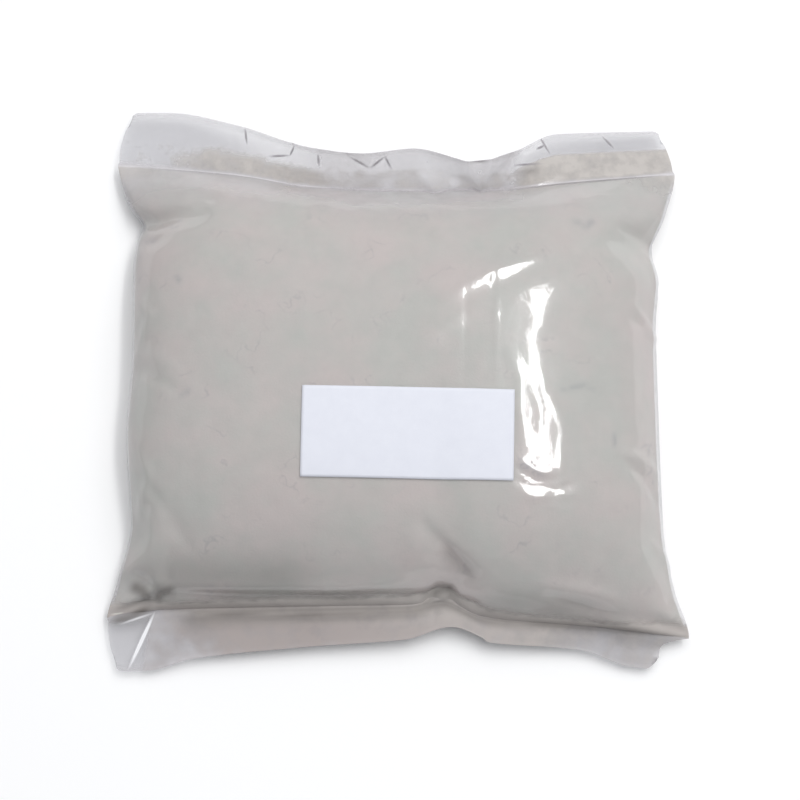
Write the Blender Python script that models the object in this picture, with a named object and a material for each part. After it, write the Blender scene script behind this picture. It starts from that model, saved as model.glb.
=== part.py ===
"""A 1 kg cement bag: grey powder in a clear heat-sealed film bag, with one blank paper label.

The bag lies on its back on the XY plane. +Y points to its filling end, +Z up to the labelled front.
The origin is on the floor, under the middle of its outline. Sizes below are in millimetres.
"""

import bmesh
import bpy
import numpy as np
from mathutils import Matrix, Vector

MM = 0.001

# The film is a flat tube, 200 mm wide when empty. Its long sides are folds and its ends are heat seals.
FILM_WALL = 0.12
SEAL_GAP = 0.10
HEADER_GAP = 0.30
CLEARANCE = 0.30
LABEL_LIFT = 0.40
FOLD_REACH = 0.02
HALF_WIDTH = 100.0

# The fill: how far the front rises over the side folds, how high those lie, and how deep the back would
# hang below them if the floor did not press it flat.
FRONT_RISE = 28.0
SIDE_HEIGHT = 14.0
BACK_DEPTH = 18.0
LIFT_OFF = 1.5

# Round sections have a flat crown and full shoulders. Towards the seals they thin out to a lens.
CROWN_FLATNESS = 3.2
SHOULDER_AT_MIDDLE = 2.6
SHOULDER_AT_SEALS = 1.4
END_FLATNESS = 3.0
END_BLUNTNESS = 0.85
BACK_END_FLATNESS = 4.0

LABEL_WIDTH = 70.0
LABEL_HEIGHT = 30.0
LABEL_THICKNESS = 0.12
LABEL_CENTRE = (3.5, -22.0)
LABEL_TURN_DEG = -1.1

COLUMNS = 27
BODY_ROWS = 22
POWDER_MARGIN = 2

# Each cross line is (share from left side to right side, y, z). The mouth curls up where the tube was
# gathered by the fill, and lies flat at its corners.
MOUTH = (
    (-1.0, 98.4, 5.0),
    (-0.86, 98.4, 5.0),
    (-0.57, 92.3, 9.0),
    (-0.29, 81.2, 19.0),
    (-0.12, 78.6, 21.0),
    (0.07, 81.0, 19.0),
    (0.27, 75.3, 23.0),
    (0.41, 79.0, 21.0),
    (0.61, 89.7, 9.0),
    (1.0, 91.7, 5.0),
)
TOP_SEAL = (
    (-1.0, 78.9, 6.0),
    (-0.55, 73.6, 10.0),
    (-0.32, 69.6, 11.0),
    (0.0, 68.2, 11.0),
    (0.31, 68.4, 11.0),
    (0.6, 71.2, 10.0),
    (1.0, 75.6, 6.0),
)
BOTTOM_SEAL = (
    (-1.0, -80.5, 5.0),
    (-0.8, -77.6, 6.0),
    (-0.2, -76.5, 8.0),
    (0.07, -76.0, 8.0),
    (0.16, -73.8, 9.0),
    (0.3, -80.0, 8.0),
    (0.7, -83.6, 7.0),
    (1.0, -87.3, 5.0),
)
FLANGE_EDGE = (
    (-1.0, -98.3, 4.0),
    (-0.87, -98.0, 4.0),
    (-0.7, -94.0, 5.0),
    (-0.29, -90.2, 6.0),
    (0.02, -87.9, 7.0),
    (0.19, -83.5, 8.0),
    (0.33, -88.4, 7.0),
    (0.7, -91.0, 5.0),
    (0.88, -96.4, 4.0),
    (1.0, -97.6, 4.0),
)

# Each side fold is (y, x). The waist is pulled in by the fill, and the corners flare to the flat width.
LEFT_FOLD = (
    (-98.3, -96.1),
    (-83.0, -98.8),
    (-68.0, -95.0),
    (-49.0, -90.9),
    (-18.0, -92.6),
    (9.0, -91.2),
    (40.0, -91.6),
    (50.0, -90.8),
    (56.0, -88.9),
    (62.0, -93.0),
    (71.0, -96.6),
    (82.0, -98.8),
    (98.4, -94.9),
)
RIGHT_FOLD = (
    (-97.6, 87.3),
    (-95.0, 89.0),
    (-91.0, 88.8),
    (-87.3, 99.0),
    (-72.0, 94.4),
    (-51.0, 90.5),
    (-17.0, 89.2),
    (18.0, 88.9),
    (34.0, 90.3),
    (46.5, 88.8),
    (59.0, 93.6),
    (76.0, 97.8),
    (91.7, 93.9),
)


def smooth_curve(points):
    """A smooth function through (place, value) points, listed in rising order of place.

    It turns only at the points themselves, so it never swings past them.
    """
    places, values = np.array(points).T
    climbs = np.diff(values) / np.diff(places)
    before, after = climbs[:-1], climbs[1:]
    level = before * after <= 0
    inner = np.where(level, 0, 2 * before * after / np.where(level, 1, before + after))
    slopes = np.concatenate([[climbs[0]], inner, [climbs[-1]]])

    def value_at(where):
        where = np.clip(where, places[0], places[-1])
        left = np.clip(np.searchsorted(places, where) - 1, 0, len(places) - 2)
        step = places[left + 1] - places[left]
        f = (where - places[left]) / step
        rise = values[left + 1] - values[left]
        blend = f * f * (3 - 2 * f)
        bend = slopes[left] * f * (1 - f) ** 2 - slopes[left + 1] * f * f * (1 - f)
        return values[left] + blend * rise + bend * step

    return value_at


def cross_line(points):
    """The y and z of one cross line, each as a smooth function of the share across."""
    return (
        smooth_curve([(share, y) for share, y, z in points]),
        smooth_curve([(share, z) for share, y, z in points]),
    )


LINES = [cross_line(points) for points in (FLANGE_EDGE, BOTTOM_SEAL, TOP_SEAL, MOUTH)]
left_x = smooth_curve(LEFT_FOLD)
right_x = smooth_curve(RIGHT_FOLD)


def between_lines(part, share, station):
    """The y (part 0) or z (part 1) at a station: -1 flange edge, 0 bottom seal, 1 top seal, 2 mouth."""
    zone = np.clip(np.floor(station), -1, 1).astype(int)
    lower = np.choose(zone + 1, [line[part](share) for line in LINES[:-1]])
    upper = np.choose(zone + 1, [line[part](share) for line in LINES[1:]])
    return lower + (upper - lower) * (station - zone)


def end_ness(station):
    """0 halfway along the fill, and 1 at either seal and beyond."""
    return np.clip(np.abs(2 * station - 1), 0, 1)


def middle_height(share, station):
    """Height of the surface halfway between front and back film."""
    weight = end_ness(station) ** 3
    return SIDE_HEIGHT * (1 - weight) + between_lines(1, share, station) * weight


def section(share, station):
    """How full the section is: 1 on its crown, and 0 at the side folds."""
    shoulder = SHOULDER_AT_MIDDLE + (SHOULDER_AT_SEALS - SHOULDER_AT_MIDDLE) * end_ness(station) ** 3
    return np.clip(1 - np.abs(share) ** CROWN_FLATNESS, 0, 1) ** (1 / shoulder)


def front_bulge(share, station):
    along = (1 - end_ness(station) ** END_FLATNESS) ** END_BLUNTNESS
    return FRONT_RISE * along * section(share, station)


def back_bulge(share, station):
    along = (1 - end_ness(station) ** BACK_END_FLATNESS) ** END_BLUNTNESS
    return BACK_DEPTH * along * section(share, station)


def plan(share, station):
    """The x and y of a point of the film."""
    y = between_lines(0, share, station)
    return left_x(y) + (right_x(y) - left_x(y)) * (share + 1) / 2, y


def resting(height, floor):
    """Presses a hanging surface flat on a floor, with a soft bend where it lifts off."""
    bend = np.clip(height - floor + LIFT_OFF, 0, 2 * LIFT_OFF) ** 2 / (4 * LIFT_OFF)
    return floor + np.where(height > floor + LIFT_OFF, height - floor, bend)


def ring(share, station, half, inset, floor):
    """One closed loop round the bag: along the front, round a fold, back along the back, round a fold."""
    narrowed = share * (1 - inset / HALF_WIDTH * np.abs(share))
    x, y = plan(narrowed, station)
    middle = middle_height(share, station)
    front = middle + front_bulge(share, station) + half
    back = resting(middle - back_bulge(share, station) - half, floor)
    fold = (front[[0, -1]] + back[[0, -1]]) / 2
    reach = max(half, FOLD_REACH)
    return np.concatenate([
        np.column_stack([x, y, front]),
        [(x[-1] + reach, y[-1], fold[1])],
        np.column_stack([x, y, back])[::-1],
        [(x[0] - reach, y[0], fold[0])],
    ])


def closing_ring(share, station, inset):
    """The same loop pressed flat, which closes an end of the solid in a line."""
    loop = ring(share, station, 0.0, inset, 0.0)
    height = middle_height(share, station)
    loop[:, 2] = np.concatenate([height, [height[-1]], height[::-1], [height[0]]])
    return loop


def loft(name, rings, outer_rings):
    """A closed solid through rings of equally many points, whose first and last rings are flat.

    Front, back, outside and inside all split a cell along the same diagonal, seen from above. A twisted
    cell would otherwise push one side of the thin wall through the other.
    """
    across, along = len(rings[0]), len(rings) - 1
    bm = bmesh.new()
    bmesh.ops.create_grid(bm, x_segments=across, y_segments=along, size=1.0)
    same, mirrored = [], []
    for face in bm.faces:
        middle = face.calc_center_median()
        is_front = middle.x < 0
        is_outside = (middle.y + 1) / 2 * along < outer_rings
        (same if is_front == is_outside else mirrored).append(face)
    bmesh.ops.triangulate(bm, faces=same, quad_method="FIXED")
    bmesh.ops.triangulate(bm, faces=mirrored, quad_method="ALTERNATE")
    for vert in bm.verts:
        column = round((vert.co.x + 1) / 2 * across) % across
        row = round((vert.co.y + 1) / 2 * along)
        vert.co = Vector(rings[row][column]) * MM
    bmesh.ops.remove_doubles(bm, verts=bm.verts, dist=1e-7)
    bmesh.ops.recalc_face_normals(bm, faces=bm.faces)
    return finished(name, bm)


def finished(name, bm):
    """Puts a mesh in the scene as an object, shaded smooth except at sharp edges."""
    mesh = bpy.data.meshes.new(name)
    bm.to_mesh(mesh)
    bm.free()
    mesh.shade_smooth()
    mesh.set_sharp_from_angle(angle=np.radians(50))
    obj = bpy.data.objects.new(name, mesh)
    bpy.context.scene.collection.objects.link(obj)
    return obj


def give_material(obj, name, colour, roughness, alpha=1.0):
    material = bpy.data.materials.new(name)
    material.use_nodes = True
    shader = material.node_tree.nodes["Principled BSDF"]
    shader.inputs["Base Color"].default_value = (*colour, 1)
    shader.inputs["Roughness"].default_value = roughness
    shader.inputs["Metallic"].default_value = 0.0
    shader.inputs["Alpha"].default_value = alpha
    obj.data.materials.append(material)


# Columns crowd towards the side folds and rows towards the seals, where the film turns fastest.
SHARES = np.sin(np.linspace(-np.pi / 2, np.pi / 2, COLUMNS))
BODY = (1 - np.cos(np.linspace(0, np.pi, BODY_ROWS))) / 2
FLANGE = (-1.0, -0.98, -0.6, -0.25)
HEADER = (1.15, 1.4, 1.7, 2.0)


def half_gap(station):
    """Half the space between front and back film where nothing fills the bag."""
    openness = np.clip((station - 1) / (HEADER[0] - 1), 0, 1)
    return (SEAL_GAP + (HEADER_GAP - SEAL_GAP) * openness) / 2


def make_film_bag():
    """One wall of film from the closed flange, over the outside to the mouth, and back down the inside.

    The top seal is a pinch that leaves a hair of space, so that the bag stays one open pouch.
    """
    outside = [
        ring(SHARES, station, FILM_WALL + half_gap(station), 0.0, 0.0)
        for station in (*FLANGE[1:], *BODY, *HEADER)
    ]
    inside = [
        ring(SHARES, station, half_gap(station), FILM_WALL, FILM_WALL)
        for station in (*HEADER[::-1], *BODY[:0:-1])
    ]
    start = closing_ring(SHARES, FLANGE[0], 0.0)
    end = closing_ring(SHARES, BODY[1] / 2, FILM_WALL)
    film = loft("film_bag", [start, *outside, *inside, end], 1 + len(outside))
    give_material(film, "clear polyethylene film", (0.80, 0.80, 0.81), 0.15, alpha=0.35)
    return film


def make_cement_powder():
    """The powder fills the film between the seals, a hair inside it, and stops short of every edge."""
    shares, rows = SHARES[1:-1], BODY[POWDER_MARGIN:-POWDER_MARGIN]
    rings = [closing_ring(shares, rows[0], CLEARANCE)]
    for station in rows[1:-1]:
        gap = FILM_WALL + CLEARANCE * (1 + end_ness(station) ** 6)
        rings.append(ring(shares, station, -gap, FILM_WALL + CLEARANCE, FILM_WALL + CLEARANCE))
    rings.append(closing_ring(shares, rows[-1], CLEARANCE))
    powder = loft("cement_powder", rings, len(rings))
    give_material(powder, "grey cement powder", (0.47, 0.45, 0.42), 0.95)
    return powder


def front_height(x, y):
    """Height of the film's outer face on the labelled side."""
    share = 2 * (x - left_x(y)) / (right_x(y) - left_x(y)) - 1
    low, high = LINES[1][0](share), LINES[2][0](share)
    station = (y - low) / (high - low)
    return middle_height(share, station) + front_bulge(share, station) + FILM_WALL + SEAL_GAP / 2


def make_paper_label():
    """A plain sheet that follows the swell of the film."""
    bm = bmesh.new()
    bmesh.ops.create_grid(bm, x_segments=14, y_segments=6, size=0.5)
    bmesh.ops.scale(bm, verts=bm.verts, vec=(LABEL_WIDTH, LABEL_HEIGHT, 1))
    turn = Matrix.Rotation(np.radians(LABEL_TURN_DEG), 4, "Z")
    bmesh.ops.transform(bm, verts=bm.verts, matrix=Matrix.Translation((*LABEL_CENTRE, 0)) @ turn)
    for vert in bm.verts:
        vert.co.z = front_height(vert.co.x, vert.co.y) + LABEL_LIFT
    bmesh.ops.scale(bm, verts=bm.verts, vec=(MM, MM, MM))
    label = finished("paper_label", bm)
    wall = label.modifiers.new("Paper", "SOLIDIFY")
    wall.thickness = LABEL_THICKNESS * MM
    wall.offset = 1.0
    give_material(label, "white label paper", (0.88, 0.88, 0.90), 0.65)
    return label


for old in list(bpy.data.objects):
    bpy.data.objects.remove(old)

make_film_bag()
make_cement_powder()
make_paper_label()
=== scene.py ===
# %% [markdown]
# # A one kilogram bag of cement in clear film
#
# The real thing is a length of flat polyethylene tube, heat-sealed across at both ends and filled with
# fine grey powder, with one white paper label stuck on its front. This lesson builds its looks in Blender,
# around a frame that already holds the bag's size and its three parts: film, powder and label.
#
# Everything is in metres with +Z up. The bag lies on its back and +Y runs to its filling end. Sizes that
# are written in millimetres are turned to metres by one constant.

import bmesh
import bpy
import numpy as np
from mathutils import Matrix, Vector
from mathutils.bvhtree import BVHTree


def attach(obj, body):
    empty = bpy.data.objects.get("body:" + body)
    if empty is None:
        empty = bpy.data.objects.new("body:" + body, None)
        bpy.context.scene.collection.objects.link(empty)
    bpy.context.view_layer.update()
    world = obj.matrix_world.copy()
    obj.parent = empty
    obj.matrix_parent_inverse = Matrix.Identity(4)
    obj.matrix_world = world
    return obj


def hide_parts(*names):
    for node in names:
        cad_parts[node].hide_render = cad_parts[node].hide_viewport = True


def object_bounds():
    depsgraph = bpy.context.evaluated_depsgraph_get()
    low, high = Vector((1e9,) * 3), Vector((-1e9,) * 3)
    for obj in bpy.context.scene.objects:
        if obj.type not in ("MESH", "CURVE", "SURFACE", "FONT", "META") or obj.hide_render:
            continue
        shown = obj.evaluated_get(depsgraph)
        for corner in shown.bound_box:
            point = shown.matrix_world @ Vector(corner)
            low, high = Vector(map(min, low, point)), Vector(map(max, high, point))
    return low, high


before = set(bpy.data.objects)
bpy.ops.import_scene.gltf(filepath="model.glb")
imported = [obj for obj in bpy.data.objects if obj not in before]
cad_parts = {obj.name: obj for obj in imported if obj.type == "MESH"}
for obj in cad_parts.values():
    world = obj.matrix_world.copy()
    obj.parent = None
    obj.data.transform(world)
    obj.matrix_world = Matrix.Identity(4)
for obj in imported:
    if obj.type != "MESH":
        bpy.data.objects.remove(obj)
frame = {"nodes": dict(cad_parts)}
frame_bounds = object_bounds()
scene = bpy.context.scene
MM = 0.001
print("frame parts:", ", ".join(frame["nodes"]))

# %% [markdown]
# ## Camera
#
# The bag is seen from almost straight above, from its foot. A long lens, 0.7 m away, keeps the side folds
# nearly parallel. The lens follows from how wide a strip of floor the picture takes in.

# %% Set up the camera
AIM = Vector((1.0, -6.0, 10.0)) * MM
CAMERA_DISTANCE = 700 * MM
VIEW_WIDTH = 275 * MM
CAMERA_HEIGHT_DEG = 80
SENSOR_WIDTH = 36

tilt = np.radians(CAMERA_HEIGHT_DEG)
camera = bpy.data.objects.new("camera", bpy.data.cameras.new("camera"))
camera.data.sensor_width = SENSOR_WIDTH
camera.data.lens = SENSOR_WIDTH * CAMERA_DISTANCE / VIEW_WIDTH
camera.location = AIM + CAMERA_DISTANCE * Vector((0, -np.cos(tilt), np.sin(tilt)))
camera.rotation_euler = (np.pi / 2 - tilt, 0, 0)
scene.collection.objects.link(camera)
scene.camera = camera
print("lens", round(camera.data.lens, 1), "mm")

# %% [markdown]
# ## Helpers for materials
#
# Paint makers and screens give colours as sRGB hex codes, but a shader adds up light, which is linear. One
# function converts. Another adds a node, sets its options and joins its inputs, which keeps every recipe
# below short. Pattern sizes are given in millimetres: a noise whose scale is 1000 / size repeats about
# once in that many millimetres.
#
# A socket is called by its name. Where a node has several of one name, it is called by its number: a Math
# node's inputs are 0, 1 and 2, a Mix Shader's are 0 for the share and 1 and 2 for the two surfaces, and the
# two colours of a Mix node are 6 and 7.


# %% Colour, node and pattern helpers
def paint(code):
    """An sRGB hex code as linear red, green, blue and alpha, by the sRGB standard's own numbers."""
    shares = [int(code[i : i + 2], 16) / 255 for i in (1, 3, 5)]
    linear = [c / 12.92 if c <= 0.04045 else ((c + 0.055) / 1.055) ** 2.4 for c in shares]
    return (*linear, 1.0)


def add(tree, kind, links=None, **settings):
    """Adds a node. Settings are its options, and links maps an input to a value or to another output."""
    node = tree.nodes.new("ShaderNode" + kind)
    for name, value in settings.items():
        setattr(node, name, value)
    for name, value in (links or {}).items():
        if isinstance(value, bpy.types.NodeSocket):
            tree.links.new(value, node.inputs[name])
        else:
            node.inputs[name].default_value = value
    return node


def every(size_mm):
    """The noise scale whose pattern repeats about once in so many millimetres."""
    return 1 / (size_mm * MM)


def new_material(name):
    """A material with an empty node tree, and its output node."""
    material = bpy.data.materials.new(name)
    material.use_nodes = True
    material.node_tree.nodes.clear()
    return material, add(material.node_tree, "OutputMaterial")


print("a mid grey is", round(paint("#808080")[0], 3), "in linear light")

# %% [markdown]
# ## Floor
#
# Product pictures are taken on matt white paper. One flat sheet, far larger than the picture, stands for
# it, and it has almost no shine, so that no lamp shows in it.

# %% Lay the floor
FLOOR_SIZE = 6.0

bm = bmesh.new()
bmesh.ops.create_grid(bm, x_segments=1, y_segments=1, size=FLOOR_SIZE / 2)
floor_mesh = bpy.data.meshes.new("floor")
bm.to_mesh(floor_mesh)
bm.free()
floor = bpy.data.objects.new("floor", floor_mesh)
scene.collection.objects.link(floor)

paper_ground, out = new_material("matt white background paper")
tree = paper_ground.node_tree
matt_white = {"Base Color": paint("#FFFFFF"), "Roughness": 0.9, "Specular IOR Level": 0.1}
ground = add(tree, "BsdfPrincipled", matt_white)
tree.links.new(ground.outputs[0], out.inputs["Surface"])
floor_mesh.materials.append(paper_ground)
print("floor", FLOOR_SIZE, "m square")

# %% [markdown]
# ## Light
#
# A glossy skin shows the shape of whatever bright thing it mirrors, so the light that fills and the light
# that glints are kept apart. A wide soft sun, a soft box overhead and a pale room light the powder and the
# paper, and the first two are hidden from mirrors. A long narrow strip, high on the right, does the
# opposite: it adds little light, but the film mirrors it as a bright ribbon that bends wherever the film
# does.

# %% Hang the lights
OVERHEAD = {"toward": (0.08, 0.2, 0.55), "distance": 0.62, "size": (0.6, 0.45), "power": 0.6}
STRIP = {"toward": (0.325, 0.18, 0.95), "distance": 1.5, "size": (0.135, 1.15), "power": 6.4}
SKY_TOWARD = (0.2, 0.52, 1.0)
SKY_WIDTH_DEG = 55
SKY_POWER = 1.0
ROOM_POWER = 0.44


def hang_light(name, toward, distance, size, power):
    """A soft box that shines on the bag from the direction toward. Its second size runs along the bag."""
    lamp = bpy.data.lights.new(name, "AREA")
    lamp.shape = "RECTANGLE"
    lamp.size, lamp.size_y = size
    lamp.energy = power
    box = bpy.data.objects.new(name, lamp)
    away = Vector(toward).normalized()
    side = Vector((0, 1, 0)).cross(away).normalized()
    box.location = away * distance
    box.rotation_euler = Matrix((side, away.cross(side), away)).transposed().to_euler()
    scene.collection.objects.link(box)
    return box


hang_light("overhead", **OVERHEAD).visible_glossy = False
hang_light("window", **STRIP)
sun = bpy.data.lights.new("skylight", "SUN")
sun.energy = SKY_POWER
sun.angle = np.radians(SKY_WIDTH_DEG)
skylight = bpy.data.objects.new("skylight", sun)
skylight.rotation_euler = Vector(SKY_TOWARD).to_track_quat("Z", "Y").to_euler()
skylight.visible_glossy = False
scene.collection.objects.link(skylight)

world = bpy.data.worlds.new("soft room")
world.use_nodes = True
air = world.node_tree.nodes["Background"].inputs
air["Color"].default_value = paint("#F4F6FA")
air["Strength"].default_value = ROOM_POWER
scene.world = world
scene.view_settings.view_transform = "Standard"

# %% [markdown]
# ## The bag's outline
#
# Lay-flat tube has no seams at its sides: they are folds. When powder fills it, the tube narrows at the
# waist and keeps its full width only at the seals, which is why every filled bag has flared corners. Seven
# to thirteen points for each line are enough: the two side folds as (y, x), and four lines across as (share
# from left to right, y, z), all in millimetres.

# %% Outline in millimetres
MOUTH = (
    (-1.0, 98.4, 5.0),
    (-0.86, 98.4, 5.0),
    (-0.57, 92.3, 9.0),
    (-0.29, 81.2, 19.0),
    (-0.12, 78.6, 21.0),
    (0.07, 81.0, 19.0),
    (0.27, 75.3, 23.0),
    (0.41, 79.0, 21.0),
    (0.61, 90.1, 6.6),
    (1.0, 92.2, 3.2),
)
TOP_SEAL = (
    (-1.0, 78.9, 6.0),
    (-0.55, 73.6, 10.0),
    (-0.32, 69.6, 11.0),
    (0.0, 68.2, 11.0),
    (0.31, 68.4, 11.0),
    (0.6, 71.2, 10.0),
    (1.0, 75.6, 6.0),
)
BOTTOM_SEAL = (
    (-1.0, -80.5, 5.0),
    (-0.8, -77.6, 6.0),
    (-0.2, -76.5, 8.0),
    (0.07, -76.0, 8.0),
    (0.16, -73.8, 9.0),
    (0.3, -80.0, 8.0),
    (0.7, -83.6, 7.0),
    (1.0, -87.3, 5.0),
)
FLANGE_EDGE = (
    (-1.0, -98.3, 4.0),
    (-0.87, -98.0, 4.0),
    (-0.7, -94.0, 5.0),
    (-0.29, -90.2, 6.0),
    (0.02, -87.9, 7.0),
    (0.19, -83.5, 8.0),
    (0.33, -88.4, 7.0),
    (0.7, -91.0, 5.0),
    (0.88, -96.4, 4.0),
    (1.0, -97.6, 4.0),
)
LEFT_FOLD = (
    (-98.3, -96.1),
    (-83.0, -98.8),
    (-68.0, -95.0),
    (-49.0, -90.9),
    (-18.0, -92.6),
    (9.0, -91.2),
    (40.0, -91.6),
    (50.0, -90.8),
    (56.0, -88.9),
    (62.0, -93.0),
    (71.0, -96.6),
    (82.0, -98.8),
    (98.4, -94.9),
)
RIGHT_FOLD = (
    (-97.6, 87.3),
    (-95.0, 89.2),
    (-89.4, 89.8),
    (-87.3, 99.0),
    (-72.0, 94.4),
    (-51.0, 90.5),
    (-17.0, 89.2),
    (18.0, 88.9),
    (34.0, 90.3),
    (46.5, 88.8),
    (59.0, 93.6),
    (76.0, 97.8),
    (91.7, 93.9),
)
print("the folds have", len(LEFT_FOLD), "and", len(RIGHT_FOLD), "points, the mouth", len(MOUTH))

# %% [markdown]
# ## Curves through the points
#
# A plain spline swings past its points where they change direction, which would put dents in the outline.
# Here the slope at each point is the harmonic mean of the climbs on both sides, and level at a peak, so the
# curve is smooth and stays within the range of its points.


# %% Join the points by curves
def smooth_curve(points):
    """A smooth function through (place, value) points that never swings past them."""
    places, values = np.array(points).T
    climbs = np.diff(values) / np.diff(places)
    before, after = climbs[:-1], climbs[1:]
    level = before * after <= 0
    inner = np.where(level, 0, 2 * before * after / np.where(level, 1, before + after))
    slopes = np.concatenate([[climbs[0]], inner, [climbs[-1]]])

    def value_at(where):
        where = np.clip(where, places[0], places[-1])
        left = np.clip(np.searchsorted(places, where) - 1, 0, len(places) - 2)
        step = places[left + 1] - places[left]
        f = (where - places[left]) / step
        rise = values[left + 1] - values[left]
        blend = f * f * (3 - 2 * f)
        bend = slopes[left] * f * (1 - f) ** 2 - slopes[left + 1] * f * f * (1 - f)
        return values[left] + blend * rise + bend * step

    return value_at


LINES = [
    (smooth_curve([(share, y) for share, y, z in line]), smooth_curve([(share, z) for share, y, z in line]))
    for line in (FLANGE_EDGE, BOTTOM_SEAL, TOP_SEAL, MOUTH)
]
left_x = smooth_curve(LEFT_FOLD)
right_x = smooth_curve(RIGHT_FOLD)


def between_lines(part, share, station):
    """The y (part 0) or z (part 1) at a station: -1 flange edge, 0 bottom seal, 1 top seal, 2 mouth."""
    zone = np.clip(np.floor(station), -1, 1).astype(int)
    lower = np.choose(zone + 1, [line[part](share) for line in LINES[:-1]])
    upper = np.choose(zone + 1, [line[part](share) for line in LINES[1:]])
    return lower + (upper - lower) * (station - zone)


print("width at the waist", round(float(right_x(0) - left_x(0)), 1), "mm of a 200 mm tube")

# %% [markdown]
# ## A first guess of the filled shape
#
# A cloth solver finds the real shape of a filled bag, but it needs a start that is not far off. The section
# is a flat crown with round shoulders, and it thins out to nothing at the seals. The powers say how square
# it is: 2 would be a circle, and more is squarer.

# %% Guess where a point of the film lies
FRONT_RISE = 28.0
SIDE_HEIGHT = 14.0
BACK_DEPTH = 18.0
FLOOR_CLEARANCE = 0.6
SHARE_POWER = 3.2
SHOULDER_POWER = 2.6
SHOULDER_LOSS_AT_SEAL = 1.2
CROWN_POWER = 0.85


def end_ness(station):
    """0 halfway along the fill, and 1 at either seal and beyond."""
    return np.clip(np.abs(2 * station - 1), 0, 1)


def guess(share, station, is_front):
    """A point of the film, in millimetres, before it settles."""
    y = between_lines(0, share, station)
    x = left_x(y) + (right_x(y) - left_x(y)) * (share + 1) / 2
    ends = end_ness(station)
    middle = SIDE_HEIGHT * (1 - ends**3) + between_lines(1, share, station) * ends**3
    shoulder = SHOULDER_POWER - SHOULDER_LOSS_AT_SEAL * ends**3
    section = np.clip(1 - np.abs(share) ** SHARE_POWER, 0, 1) ** (1 / shoulder)
    if is_front:
        crown = middle + FRONT_RISE * (1 - ends**3) ** CROWN_POWER * section
        return np.stack([x, y, crown], axis=-1)
    lowest = middle - BACK_DEPTH * (1 - ends**4) ** CROWN_POWER * section
    return np.stack([x, y, np.maximum(lowest, FLOOR_CLEARANCE)], axis=-1)


print("the guess is", round(float(guess(0.0, 0.5, True)[2]), 1), "mm high in the middle")

# %% [markdown]
# ## Rows of points
#
# The flat tube has a width, a length between its seals, a flange below and a header above. Along each row
# the points are spaced evenly by length of film, because that is how they lie on the flat tube. In the
# flange and the header the two layers lie a hair apart, and the gap opens over the first fifth of the way
# from the seal.

# %% Rows of points round the film
FLAT_WIDTH = 200.0
FLAT_LENGTH = 163.0
FLANGE_LENGTH = 14.0
HEADER_LENGTH = 19.0
SAMPLES = 801

ACROSS = 100
CELL = FLAT_WIDTH / ACROSS
BODY_ROWS = round(FLAT_LENGTH / CELL)
HEADER_ROWS = round(HEADER_LENGTH / CELL)
FLANGE_ROWS = round(FLANGE_LENGTH / CELL)
DENSE = np.linspace(-1, 1, SAMPLES)


def evenly_along(points, places, count):
    """The places that part a line of points into so many stretches of equal length."""
    lengths = np.linalg.norm(np.diff(points, axis=0), axis=1)
    walked = np.concatenate([[0], np.cumsum(lengths)])
    return np.interp(np.linspace(0, walked[-1], count + 1), walked, places)


def film_row(station, is_front):
    """One row of points across the film, from the left fold to the right one."""
    stations = np.full(DENSE.shape, station)
    shares = evenly_along(guess(DENSE, stations, is_front), DENSE, ACROSS)
    return guess(shares, np.full(shares.shape, station), is_front)


print(ACROSS, "cells of", round(CELL, 2), "mm across each side")

# %% Lay out every row
LAYER_GAP = 0.12
GAP_OPENS_WITHIN = 0.2

fine_steps = np.linspace(0, 1, SAMPLES)
middle_line = guess(np.zeros(SAMPLES), fine_steps, True)
body_stations = evenly_along(middle_line, fine_steps, BODY_ROWS)
stations = np.concatenate([
    np.linspace(-1, 0, FLANGE_ROWS + 1)[:-1],
    body_stations,
    np.linspace(1, 2, HEADER_ROWS + 1)[1:],
])
fronts, backs = [], []
for station in stations:
    front, back = film_row(station, True), film_row(station, False)
    if not 0 < station < 1:
        opened = min(abs(station), abs(station - 1), GAP_OPENS_WITHIN)
        spread = LAYER_GAP * opened / GAP_OPENS_WITHIN
        back = front - (0, 0, spread)
        front = front + (0, 0, spread)
    front[[0, -1]] = back[[0, -1]] = (front[[0, -1]] + back[[0, -1]]) / 2
    fronts.append(front)
    backs.append(back)
print(len(stations), "rows of", ACROSS, "cells, front and back")

# %% [markdown]
# ## The tube as one mesh
#
# A grid is rolled up: its columns run over the front, round the right fold, back under the bag and round
# the left fold. Points that meet at the folds and along the two heat seals are merged, so the film is one
# continuous skin. Each point remembers its share across, its row and its side, because creases, dust and
# haze are placed by them later. It also remembers its place on the flat tube, as the solver's rest shape.

# %% Roll a grid into the tube
SIM_SCALE = 10.0
WELD_DISTANCE = 1e-5

rows = len(stations)
columns = 2 * ACROSS
bm = bmesh.new()
bmesh.ops.create_grid(bm, x_segments=columns, y_segments=rows - 1, size=1.0)
share_layer = bm.verts.layers.float.new("share")
row_layer = bm.verts.layers.float.new("row")
side_layer = bm.verts.layers.float.new("side")
flat_layer = bm.verts.layers.float_vector.new("flat")
for vert in bm.verts:
    column = round((vert.co.x + 1) / 2 * columns) % columns
    row = round((vert.co.y + 1) / 2 * (rows - 1))
    is_front = column <= ACROSS
    place = column if is_front else columns - column
    vert.co = Vector((fronts if is_front else backs)[row][place]) * MM * SIM_SCALE
    is_welded = place in (0, ACROSS) or row in (FLANGE_ROWS, FLANGE_ROWS + BODY_ROWS)
    vert[share_layer] = 2 * place / ACROSS - 1
    vert[row_layer] = row
    vert[side_layer] = 0.0 if is_welded else (1.0 if is_front else -1.0)
    flat_y = FLAT_LENGTH * (row - FLANGE_ROWS) / BODY_ROWS
    vert[flat_layer] = Vector((vert[share_layer] * FLAT_WIDTH / 2, flat_y, 0)) * MM * SIM_SCALE
bmesh.ops.remove_doubles(bm, verts=bm.verts, dist=WELD_DISTANCE)
bmesh.ops.recalc_face_normals(bm, faces=bm.faces)
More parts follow.
